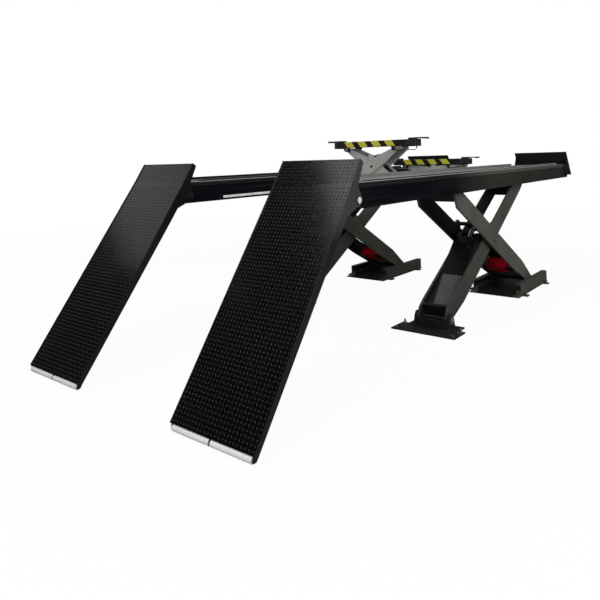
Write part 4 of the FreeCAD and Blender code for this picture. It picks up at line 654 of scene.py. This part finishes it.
def ground_steel(name, colour, rough, stretch, line_scale, metal=1.0):
    """Bare steel with fine grinding lines, which run along the axis that stretches least,
    and darker stains of oil."""
    made = bpy.data.materials.new(name)
    made.use_nodes = True
    tree = made.node_tree
    shader = tree.nodes["Principled BSDF"]
    shader.inputs["Metallic"].default_value = metal
    lines = noise(tree, stretched(tree, stretch), line_scale, 4.0, 0.7)
    stains = noise(tree, place_of(tree), 9.0, 5.0)
    dark = tuple(part * 0.6 for part in colour[:3]) + (1,)
    tree.links.new(mix(tree, remap(tree, stains, 0.45, 0.75, 0.0, 0.8), colour, dark),
                   shader.inputs["Base Color"])
    tree.links.new(remap(tree, lines, 0.3, 0.7, rough - 0.07, rough + 0.11),
                   shader.inputs["Roughness"])
    scratch = add(tree, "Bump")
    scratch.inputs["Strength"].default_value = 0.12
    scratch.inputs["Distance"].default_value = 0.0003
    tree.links.new(lines, scratch.inputs["Height"])
    tree.links.new(scratch.outputs["Normal"], shader.inputs["Normal"])
    return made


rod_chrome = ground_steel("rod_chrome", (0.30, 0.30, 0.31, 1), 0.22, (40, 1, 1), 8)
finish_with(rod_chrome, *both("piston_rod"), "front_jack_ram_rod", "rear_jack_ram_rod")

# Cylinder hoods: a folded black sheet that carries on from each cover, over the barrel and
# the rod, with its sides down inside the inner leg's walls and two narrow cheeks beyond it.
# Two button screws hold its top.
HOOD_LINE = ((-0.662, 0.0725), (-0.265, 0.1480), (-0.175, 0.1520))
CHEEK_LINE = (HOOD_LINE[-1], (-0.115, 0.1540))
HOOD_HALF, HOOD_LOW, HOOD_SHEET, CHEEK_IN = 0.1162, 0.056, 0.002, 0.061
HOOD_ENDS = ((0, 1, 6, 7), (1, 2, 5, 6), (2, 3, 4, 5))
HOOD_SCREW = ((-0.002, 0), (-0.002, 0.008), (0.002, 0.0076), (0.0038, 0.005), (0.0042, 0))
HOOD_SCREWS = ((0.055, -0.195, 0.1511), (0.055, -0.320, 0.1375))
INNER_UP = (0, -math.sin(REST_ANGLE), math.cos(REST_ANGLE))
hood_paint = painted("hood_paint", (0.006, 0.006, 0.007, 1), 0.32, 0.05, 0.15)


def hood_row(along, top):
    """The hood's section at one place along the leg: a roof with both sides turned down."""
    inner, under = HOOD_HALF - HOOD_SHEET, top - HOOD_SHEET
    section = ((-HOOD_HALF, HOOD_LOW), (-HOOD_HALF, top), (HOOD_HALF, top), (HOOD_HALF, HOOD_LOW),
               (inner, HOOD_LOW), (inner, under), (-inner, under), (-inner, HOOD_LOW))
    return [(across, along, up) for across, up in section]


def cheek_row(mark, along, top):
    """One cheek's section: a narrow strip of the roof with its outer side turned down."""
    outer, inner, under = HOOD_HALF, HOOD_HALF - HOOD_SHEET, top - HOOD_SHEET
    section = ((CHEEK_IN, top), (outer, top), (outer, HOOD_LOW), (inner, HOOD_LOW), (inner, under),
               (CHEEK_IN, under))
    return [(mark * across, along, up) for across, up in section]


for side, sign in SIDES:
    hood = leg_sheet(sign, REST_ANGLE, [hood_row(*place) for place in HOOD_LINE], HOOD_ENDS)
    made_piece(f"cylinder_hood_{side}", *hood, hood_paint, f"inner_legs_{side}", smooth=False)
    cheeks = [leg_sheet(sign, REST_ANGLE, [cheek_row(mark, *place) for place in CHEEK_LINE], ANGLE_ENDS)
              for mark in (-1, 1)]
    made_piece(f"hood_cheeks_{side}", *joined(cheeks), hood_paint, f"inner_legs_{side}", smooth=False)
    screws = [turned_shape(HOOD_SCREW, centre, INNER_UP, 18)
              for centre in at_rest(sign, LEG_PIN, REST_ANGLE, HOOD_SCREWS)]
    made_piece(f"hood_screws_{side}", *joined(screws), anchor_zinc, f"inner_legs_{side}")

# Runways: long folded deck plates in satin black, with thin joint lines across their side
# bands, a welded curb and cross ribs. The deck and curb tops are painted light grey, partly dust
# and partly painted reflection, and a thin painted highlight runs along the top of each side
# band. Tyres leave a faint rubbed track along the deck, and the outer skirts and bands are
# painted lighter grey towards the far end.
DECK_Z = 1.34602
JOINTS_Y = (2.420 - MIDDLE_Y, 3.090 - MIDDLE_Y, 3.880 - MIDDLE_Y)
JOINT_HALF = 0.0016
BAND_FROM, BAND_LOW = 0.283, DECK_Z - 0.031
DECK_LOW = DECK_Z - 0.004
HIGHLIGHT_LOW, GAP_LOW, CURB_LOW = DECK_Z + 0.003, DECK_Z + 0.008, DECK_Z + 0.016
CURB_BEGINS = 0.262
TURNS_GREY = (-0.55, 0.35)
NEAR_SKIRT, FAR_SKIRT = (0.0030, 0.0034, 0.0052, 1), (0.034, 0.032, 0.028, 1)
NEAR_BAND, FAR_BAND = (0.012, 0.012, 0.014, 1), (0.080, 0.077, 0.071, 1)
DECK_DUST_AND_REFLECTION, WORN_GREY = (0.24, 0.235, 0.225, 1), (0.10, 0.10, 0.10, 1)
INNER_CURB, OUTER_CURB = (0.050, 0.046, 0.049, 1), (0.014, 0.014, 0.016, 1)
BAND_HIGHLIGHT = (0.34, 0.34, 0.33, 1)
TYRE_GREY = (0.05, 0.05, 0.05, 1)
JOINT_BLACK = (0.001, 0.001, 0.001, 1)
runway_paint = painted("runway_paint", NEAR_SKIRT, 0.36, 0.05, 0.05, (0.08, 0.08, 0.08, 1), 0.35)
finish_with(runway_paint, *both("runway"))
tree = runway_paint.node_tree
film = tree.nodes["film"]
where = split(tree, place_of(tree))
height = where["Z"]
outward = combine(tree, "SUBTRACT", combine(tree, "ABSOLUTE", where["X"]), RUNWAY_X)
band = combine(tree, "MULTIPLY",
               combine(tree, "GREATER_THAN", combine(tree, "ABSOLUTE", outward), BAND_FROM),
               combine(tree, "GREATER_THAN", height, BAND_LOW))
off_band = combine(tree, "GREATER_THAN", combine(tree, "SUBTRACT", height, band), DECK_LOW)
upper = combine(tree, "MAXIMUM", off_band, combine(tree, "GREATER_THAN", height, CURB_LOW))
joint = 0
for y in JOINTS_Y:
    near = add(tree, "Math", operation="COMPARE")
    near.inputs[1].default_value = y
    near.inputs[2].default_value = JOINT_HALF
    tree.links.new(where["Y"], near.inputs[0])
    joint = combine(tree, "MAXIMUM", near.outputs[0], joint)
looks_in = combine(tree, "LESS_THAN", combine(tree, "MULTIPLY", where["X"],
                   split(tree, add(tree, "NewGeometry").outputs["Normal"])["X"]), -0.05)
inner_curb = combine(tree, "MULTIPLY", combine(tree, "LESS_THAN", outward, -CURB_BEGINS), looks_in)
outer_curb = combine(tree, "MULTIPLY", combine(tree, "GREATER_THAN", outward, CURB_BEGINS), looks_in)
streaks = noise(tree, stretched(tree, (9.0, 0.35, 9.0)), 3.0, 5.0, 0.65)
# Deck and curb tops: light grey, partly dust and partly painted reflection, with darker worn streaks.
dust_and_reflection = mix(tree, remap(tree, streaks, 0.40, 0.75, 0.0, 0.5), DECK_DUST_AND_REFLECTION, WORN_GREY)
dust_and_reflection = mix(tree, outer_curb, mix(tree, inner_curb, dust_and_reflection, INNER_CURB), OUTER_CURB)
# Outer skirts and bands are painted lighter towards the far end.
farther = combine(tree, "MULTIPLY", combine(tree, "GREATER_THAN", outward, 0.0),
                  remap(tree, where["Y"], *TURNS_GREY, 0.0, 1.0))
band_colour = mix(tree, farther, NEAR_BAND, FAR_BAND)
tree.links.new(mix(tree, farther, NEAR_SKIRT, FAR_SKIRT), film.inputs["Paint"])
lay_over(runway_paint, remap(tree, streaks, 0.48, 0.72, 0.0, 0.22), TYRE_GREY)
lay_over(runway_paint, band, band_colour)
# A thin pale line along the top of each side band, between these heights, is a painted highlight.
for low, colour in ((HIGHLIGHT_LOW, BAND_HIGHLIGHT), (GAP_LOW, band_colour)):
    above = combine(tree, "GREATER_THAN", height, low)
    lay_over(runway_paint, combine(tree, "MULTIPLY", band, above), colour)
lay_over(runway_paint, upper, dust_and_reflection)
lay_over(runway_paint, combine(tree, "MULTIPLY", joint, band), JOINT_BLACK)
tree.links.new(combine(tree, "ADD", film.outputs["Roughness"],
                       remap(tree, streaks, 0.4, 0.7, -0.06, 0.10)),
               tree.nodes["Principled BSDF"].inputs["Roughness"])

# Runway welds: beads along the curbs' feet, left out beside the slip plates, and at the feet
# of the head lugs under the deck.
CURB_FOOT_X, CURB_BEAD, CURB_BEADS = 0.269, 0.06, 15
CURB_Y = (0.230 - MIDDLE_Y, 4.596 - MIDDLE_Y)
SLIP_FRONT_Y, SLIP_LONG = 0.960 - MIDDLE_Y, 1.200
NO_BEAD_Y = (SLIP_FRONT_Y - 0.07, SLIP_FRONT_Y + SLIP_LONG + 0.01)
LUG_FACES, LUG_FOOT, DECK_UNDER = (0.198, 0.220), 0.075, DECK_Z - 0.036
for side, sign in SIDES:
    beads = []
    for mark in (-1, 1):
        x = sign * RUNWAY_X + mark * CURB_FOOT_X
        for first in np.linspace(CURB_Y[0], CURB_Y[1] - CURB_BEAD, CURB_BEADS):
            if not NO_BEAD_Y[0] < first < NO_BEAD_Y[1]:
                beads.append(weld_bead((x, first, DECK_Z), (x, first + CURB_BEAD, DECK_Z), 0.003,
                                       0.006, 6))
        for across in LUG_FACES:
            x = sign * RUNWAY_X + mark * across
            beads.append(weld_bead((x, FRONT_PIN_Y - LUG_FOOT, DECK_UNDER),
                                   (x, FRONT_PIN_Y + LUG_FOOT, DECK_UNDER), 0.004, 0.007, 6))
    made_piece(f"runway_welds_{side}", *joined(beads), runway_paint, f"platform_{side}")

# Jack rails: bright drawn steel strips along the runways' inner skirts, which carry the
# rolling jacks. They are screwed on every 240 mm.
RAIL_FACE_X = 0.302 + 0.022
RAIL_MIDDLE_Z = DECK_Z - 0.127 - 0.0095
RAIL_SCREWS_Y = np.arange(0.55, 4.5, 0.24) - MIDDLE_Y
RAIL_SCREW = ((-0.0005, 0), (-0.0005, 0.0055), (0.0010, 0.0052), (0.0016, 0.0035),
              (0.0016, 0.0022), (0.0006, 0.0020), (0.0006, 0))
rail_steel = ground_steel("rail_steel", (0.98, 0.97, 0.98, 1), 0.40, (30, 1, 30), 12, 0.0)
finish_with(rail_steel, *both("jack_rail"))
for side, sign in SIDES:
    x = sign * (RUNWAY_X - RAIL_FACE_X)
    heads = [turned_shape(RAIL_SCREW, (x, y, RAIL_MIDDLE_Z), (-sign, 0, 0), 12)
             for y in RAIL_SCREWS_Y]
    made_piece(f"rail_screws_{side}", *joined(heads), zinc_bolt, f"platform_{side}")

# Turnplates: round steel plates on a bearing, turned on a lathe, with raised degree marks
# every five degrees round the rim. Each third mark is set further in.
TURN_Y = 4.210 - MIDDLE_Y
PLATE_TOP = DECK_Z - 0.002
MARK_LONG, MARK_WIDE, MARK_HIGH = 0.008, 0.0018, 0.0006
MARK_RADIUS, FIFTEENTH_RADIUS = 0.206, 0.202
plate_steel = ground_steel("plate_steel", (0.30, 0.30, 0.31, 1), 0.40, (1, 1, 1), 90)
finish_with(plate_steel, *both("turnplate"))


def low_bar(length, width, high):
    """A low bar about the origin: an outline just under it, and a smaller one on top."""
    half = np.array([[-1, -1], [1, -1], [1, 1], [-1, 1]], float) * (length / 2, width / 2)
    points = np.concatenate((np.c_[half, np.full(4, -0.0003)], np.c_[half * 0.8, np.full(4, high)]))
    return points, np.array([[3, 2, 1, 0], [4, 5, 6, 7], [0, 1, 5, 4], [1, 2, 6, 5], [2, 3, 7, 6],
                             [3, 0, 4, 7]])


def scattered(unit, faces, places, turns):
    """Copies of one small shape at many places, each turned about the vertical, as one array
    of points and one of faces."""
    x, y, z = unit.reshape(-1, 3).T
    cosine, sine = np.cos(turns)[:, None], np.sin(turns)[:, None]
    turned = np.stack((x * cosine - y * sine, x * sine + y * cosine,
                       np.broadcast_to(z, (len(places), len(z)))), axis=-1)
    renumbered = faces[None] + len(z) * np.arange(len(places))[:, None, None]
    return (turned + places[:, None, :]).reshape(-1, 3), renumbered.reshape(-1, faces.shape[1])


mark_points, mark_faces = low_bar(MARK_LONG, MARK_WIDE, MARK_HIGH)
for side, sign in SIDES:
    angle = np.radians(np.arange(0, 360, 5))
    radius = np.where(np.arange(len(angle)) % 3 == 0, FIFTEENTH_RADIUS, MARK_RADIUS)
    places = np.stack((sign * RUNWAY_X + radius * np.cos(angle), TURN_Y + radius * np.sin(angle),
                       np.full(len(angle), PLATE_TOP)), axis=-1)
    made_piece(f"turn_marks_{side}", *scattered(mark_points, mark_faces, places, angle), zinc_bolt,
               f"turn_disc_{side}", smooth=False)

# Slip plates: ground steel sheets that slide sideways on beds in the deck. They are pressed
# with rows of round pips for grip.
PIP = ((-0.0004, 0), (-0.0004, 0.0060), (0.0007, 0.0046), (0.0012, 0.0024), (0.0013, 0))
PIPS_ACROSS, PIPS_ALONG = np.arange(-0.21, 0.211, 0.035), np.arange(0.11, 1.10, 0.035)
finish_with(plate_steel, *both("slip_plate"))
pip_points, pip_faces = turned_shape(PIP, (0, 0, 0), (0, 0, 1), 8)
for side, sign in SIDES:
    across, along = np.meshgrid(PIPS_ACROSS, PIPS_ALONG)
    places = np.stack((sign * RUNWAY_X + across.ravel(), SLIP_FRONT_Y + along.ravel(),
                       np.full(across.size, PLATE_TOP)), axis=-1)
    made_piece(f"slip_pips_{side}", *scattered(pip_points, pip_faces, places, np.zeros(len(places))),
               plate_steel, f"slip_sheet_{side}")

# Approach ramps: chequer plate with folded sides, in gloss black, whose outer sides are painted
# grey near the hinge as painted reflection. The plate is rolled with rows of small almond-shaped
# bosses that lean left and right in turn, painted lighter than the plate as painted highlight.
RAMP_ANGLE = math.radians(54.16)
RAMP_PIN = (0.062 - MIDDLE_Y, DECK_Z - 0.105)
PLATE_UP, PLATE_END = 0.1147, -1.545
CREASE, RAMP_TOP, FLAP_RISE = 0.046, 0.235, 0.006
PITCH_ACROSS, PITCH_ALONG = 0.0278, 0.0262
BOSS_LONG, BOSS_WIDE, BOSS_HIGH = 0.0230, 0.0094, 0.0025
BOSS_REACH, BOSS_LAST, CREASE_BARE = 0.321 - 0.009, RAMP_TOP - 0.010, 0.008
RAMP_SIDE_BLACK, RAMP_SIDE_REFLECTION = (0.008, 0.008, 0.008, 1), (0.050, 0.051, 0.048, 1)
SIDE_TURNS_GREY = (1.00, 1.14)
ramp_paint = painted("ramp_paint", (0.0008, 0.0008, 0.0014, 1), 0.15, 0.0, 0.30,
                     (0.09, 0.09, 0.09, 1), 0.5)
# The bosses are painted lighter than the plate, as painted highlight.
boss_highlight_paint = painted("boss_highlight_paint", (0.037, 0.037, 0.041, 1), 0.55, 0.0, 0.10,
                     (0.12, 0.12, 0.12, 1), 0.0)
finish_with(ramp_paint, *both("ramp"))
tree = ramp_paint.node_tree
where = split(tree, place_of(tree))
looks = split(tree, add(tree, "NewGeometry").outputs["Normal"])["X"]
# Painted reflection: the ramps' outer sides turn grey towards the hinge.
outer_side = combine(tree, "GREATER_THAN", combine(tree, "MULTIPLY", looks, where["X"]), 0)
reflecting = combine(tree, "MULTIPLY", outer_side, remap(tree, where["Z"], *SIDE_TURNS_GREY, 0.0, 1.0))
on_side = combine(tree, "GREATER_THAN", combine(tree, "ABSOLUTE", looks), 0.8)
lay_over(ramp_paint, on_side, mix(tree, reflecting, RAMP_SIDE_BLACK, RAMP_SIDE_REFLECTION))


def almond(long, wide, high):
    """A pointed boss: an almond outline of two arcs, a second ring drawn in and raised, and a
    ridge point at the top. The bottom is closed just under the plate's face."""
    share = np.array([-1, -0.5, 0, 0.5, 1, 0.5, 0, -0.5])
    hand = np.array([0, -1, -1, -1, 0, 1, 1, 1])
    outline = np.c_[share * long / 2, hand * (1 - share ** 2) * wide / 2]
    ring = np.c_[outline * (0.55, 0.42), np.full(8, high * 0.88)]
    points = np.concatenate((np.c_[outline, np.full(8, -0.0004)], ring, [[0, 0, high]],
                             [[0, 0, -0.0004]]))
    number = np.arange(8)
    after = (number + 1) % 8
    wall = np.concatenate((np.c_[number, after, after + 8], np.c_[number, after + 8, number + 8]))
    top = np.c_[number + 8, after + 8, np.full(8, 16)]
    under = np.c_[after, number, np.full(8, 17)]
    return points, np.concatenate((wall, top, under))


boss_points, boss_faces = almond(BOSS_LONG, BOSS_WIDE, BOSS_HIGH)
across, along = np.meshgrid(np.arange(-11, 12), np.arange(-59, 9))
leaning = np.where((across + along) % 2 == 0, 1, -1).ravel() * math.radians(45)
x = across.ravel() * PITCH_ACROSS
y = along.ravel() * PITCH_ALONG + PITCH_ALONG / 2
kept = (PLATE_END < y) & (y < BOSS_LAST) & (np.abs(y - CREASE) > CREASE_BARE) & (np.abs(x) < BOSS_REACH)
x, y, leaning = x[kept], y[kept], leaning[kept]
z = PLATE_UP + np.clip(y - CREASE, 0, None) * FLAP_RISE / (RAMP_TOP - CREASE)
points, faces = scattered(boss_points, boss_faces, np.stack((x, y, z), axis=-1), leaning)
for side, sign in SIDES:
    made_piece(f"ramp_bosses_{side}", at_rest(sign, RAMP_PIN, RAMP_ANGLE, points), faces, boss_highlight_paint,
               f"approach_ramp_{side}")

# Ramp rollers: zinc-plated tubes on the tip shaft, with a washer at each end. They roll on the
# floor as the ramp comes down.
ROLLER_CENTRE = (0, -1.565, 0.092)
ROLLER_ENDS = (0.0070, 0.3080)
ROLLER_WASHER = ((0, 0.0082), (0, 0.0165), (0.0010, 0.0165), (0.0010, 0.0082))
roller_zinc = zinc("roller_zinc", (0.94, 0.93, 0.93, 1), 0.34, 0.94, 12.0, 0.15)
finish_with(roller_zinc, *both("ramp_rollers"))
for side, sign in SIDES:
    centre = at_rest(sign, RAMP_PIN, RAMP_ANGLE, ROLLER_CENTRE)
    rings = [turned_shape(ROLLER_WASHER, centre + (mark * across - 0.0005, 0, 0), (1, 0, 0), 20)
             for mark in (-1, 1) for across in ROLLER_ENDS]
    made_piece(f"roller_washers_{side}", *joined(rings), zinc_bolt, f"approach_ramp_{side}")

# Far wheel stops: black sheet across the end of each runway, welded to two side arms that
# fold down round their hinge pins.
STOP_ANGLE = math.radians(33.9)
STOP_PIN = (5.020 - 0.141 - MIDDLE_Y, DECK_Z - 0.088)
STOP_RUN = ((0.322, 0.163, -0.112), (0.322, 0.163, 0.112))
stop_paint = painted("stop_paint", (0.013, 0.013, 0.014, 1), 0.34, 0.10, 0.14,
                     (0.10, 0.10, 0.10, 1), 0.6)
finish_with(stop_paint, *both("wheel_stop"))
for side, sign in SIDES:
    beads = [weld_bead(*at_rest(sign, STOP_PIN, STOP_ANGLE, np.multiply(STOP_RUN, (mark, 1, 1))), 0.0032)
             for mark in (-1, 1)]
    made_piece(f"stop_welds_{side}", *joined(beads), stop_paint, f"wheel_stop_plate_{side}")

# Hinge pins of the ramps and wheel stops: turned steel with broad caps, coated black. The
# ramps' outer caps are white zinc with a crowned face and a small centre hole.
HINGE_CAP_X = 0.327 + 0.0003 + 0.008
HINGE_CROWN = ((-0.0002, 0), (-0.0002, 0.0225), (0.0004, 0.0215), (0.0007, 0.016),
               (0.0008, 0.008), (0.0003, 0.0065), (0.0002, 0))
cap_zinc = zinc("cap_zinc", (0.88, 0.88, 0.88, 1), 0.36, 0.85, 20.0, 0.3)
cap_black = painted("cap_black", (0.010, 0.010, 0.011, 1), 0.35, 0.05, 0.15)
finish_with(cap_black, *both("hinge_pins"))
for side, sign in SIDES:
    crown = turned_shape(HINGE_CROWN, (sign * (RUNWAY_X + HINGE_CAP_X), *RAMP_PIN), (sign, 0, 0), 32)
    made_piece(f"hinge_crown_{side}", *crown, cap_zinc, f"platform_{side}")

# Rolling jacks: laser-cut arms in a pale grey coat, on a pressed tray that hangs on the
# rails. The cross beam is black with warning bands, and its reaches slide out at both ends.
JACKS = (("front_jack", 2.150 - MIDDLE_Y, math.radians(30.8)),
         ("rear_jack", 3.400 - MIDDLE_Y, math.radians(12.1)))
JACK_ARM = 0.6986
JACK_PIN_Z = DECK_Z - 0.109
jack_paint = painted("jack_paint", (0.400, 0.398, 0.380, 1), 0.45, 0.12, 0.20,
                     (0.36, 0.36, 0.34, 1), 0.5)
reach_paint = painted("reach_paint", (0.022, 0.023, 0.022, 1), 0.42, 0.14, 0.16,
                      (0.14, 0.14, 0.14, 1), 0.6)
for paint, pieces in ((jack_paint, ("carriage", "arm_outer", "arm_inner")),
                      (reach_paint, ("arm_left", "arm_right"))):
    finish_with(paint, *[f"{jack}_{piece}" for jack, jack_y, jack_turn in JACKS for piece in pieces])

# Warning bands: slanting yellow and black fields painted on the cross beams' long sides,
# above their lower lips, and rubbed thin in places.
BAND_PITCH, BAND_LEAN, BAND_REACH = 0.160, 0.70, 0.318
BAND_START, YELLOW_SHARE = BAND_PITCH + 0.30, 0.56
BEAM_UP, BEAM_LIP = 0.052, 0.0285
WARNING_YELLOW = (0.56, 0.52, 0.06, 1)
for jack, jack_y, jack_turn in JACKS:
    beam_paint = painted(f"{jack}_beam_paint", (0.014, 0.014, 0.014, 1), 0.40, 0.14, 0.16,
                         (0.14, 0.14, 0.14, 1), 0.6)
    tree = beam_paint.node_tree
    where = split(tree, place_of(tree))
    looks = split(tree, add(tree, "NewGeometry").outputs["Normal"])["Y"]
    beam_z = JACK_PIN_Z + JACK_ARM * math.sin(jack_turn) + BEAM_UP
    slant = combine(tree, "MULTIPLY", combine(tree, "SUBTRACT", where["Z"], beam_z), BAND_LEAN)
    run = combine(tree, "ADD", combine(tree, "ADD", where["X"], slant), BAND_START)
    step = combine(tree, "FRACT", combine(tree, "DIVIDE", run, BAND_PITCH))
    shown = combine(tree, "LESS_THAN", step, YELLOW_SHARE)
    inside = combine(tree, "LESS_THAN", combine(tree, "ABSOLUTE", where["X"]), BAND_REACH)
    upright = combine(tree, "GREATER_THAN", combine(tree, "ABSOLUTE", looks), 0.7)
    above = combine(tree, "GREATER_THAN", where["Z"], beam_z - BEAM_LIP)
    unworn = remap(tree, noise(tree, place_of(tree), 34.0, 5.0, 0.7), 0.30, 0.38, 0.35, 1.0)
    for share in (inside, upright, above, unworn):
        shown = combine(tree, "MULTIPLY", shown, share)
    lay_over(beam_paint, shown, WARNING_YELLOW)
    finish_with(beam_paint, f"{jack}_beam")

# Jack pins and saddles: bright pin ends with a centre hole, dark caps on the middle pivots, and
# rounded cross bars welded on both ends of each saddle plate, so that it can't slip off a sill.
PIN_END = ((-0.002, 0), (-0.002, 0.0125), (0.0005, 0.0125), (0.0015, 0.0105), (0.0018, 0.004),
           (0.0010, 0.003), (0.0010, 0))
PIVOT_CAP = ((-0.001, 0), (-0.001, 0.013), (0.0015, 0.013), (0.0025, 0.011), (0.0028, 0))
SADDLE_BAR = ((-0.056, 0), (-0.056, 0.0060), (-0.0545, 0.0085), (0.0545, 0.0085),
              (0.056, 0.0060), (0.056, 0))
FIXED_PIN_X, PIN_FACE, PIVOT_FACE = -0.300, 0.124, 0.104
SADDLE_X, SADDLE_UP, BAR_BESIDE = 0.490, 0.0903, 0.080
for jack, jack_y, jack_turn in JACKS:
    rise = JACK_ARM * math.sin(jack_turn)
    free_x = FIXED_PIN_X + JACK_ARM * math.cos(jack_turn)
    middle = ((FIXED_PIN_X + free_x) / 2, JACK_PIN_Z + rise / 2)
    pivots = [turned_shape(PIVOT_CAP, (middle[0], jack_y + mark * PIVOT_FACE, middle[1]),
                           (0, mark, 0), 24) for mark in (-1, 1)]
    made_piece(f"{jack}_pivot_caps", *joined(pivots), reach_paint, f"{jack}_outer_arms")
    for body, ends in (("outer_arms", ((FIXED_PIN_X, 0), (free_x, rise))),
                       ("inner_arms", ((FIXED_PIN_X, rise), (free_x, 0)))):
        pins = [turned_shape(PIN_END, (x, jack_y + mark * PIN_FACE, JACK_PIN_Z + up), (0, mark, 0), 20)
                for mark in (-1, 1) for x, up in ends]
        made_piece(f"{jack}_{body}_pins", *joined(pins), anchor_zinc, f"{jack}_{body}")
    for side, sign in SIDES:
        bars = [turned_shape(SADDLE_BAR, (sign * SADDLE_X + mark * BAR_BESIDE, jack_y,
                                          JACK_PIN_Z + rise + SADDLE_UP), (0, 1, 0), 16)
                for mark in (-1, 1)]
        made_piece(f"{jack}_saddle_bars_{side}", *joined(bars), reach_paint, f"{jack}_{side}_reach")
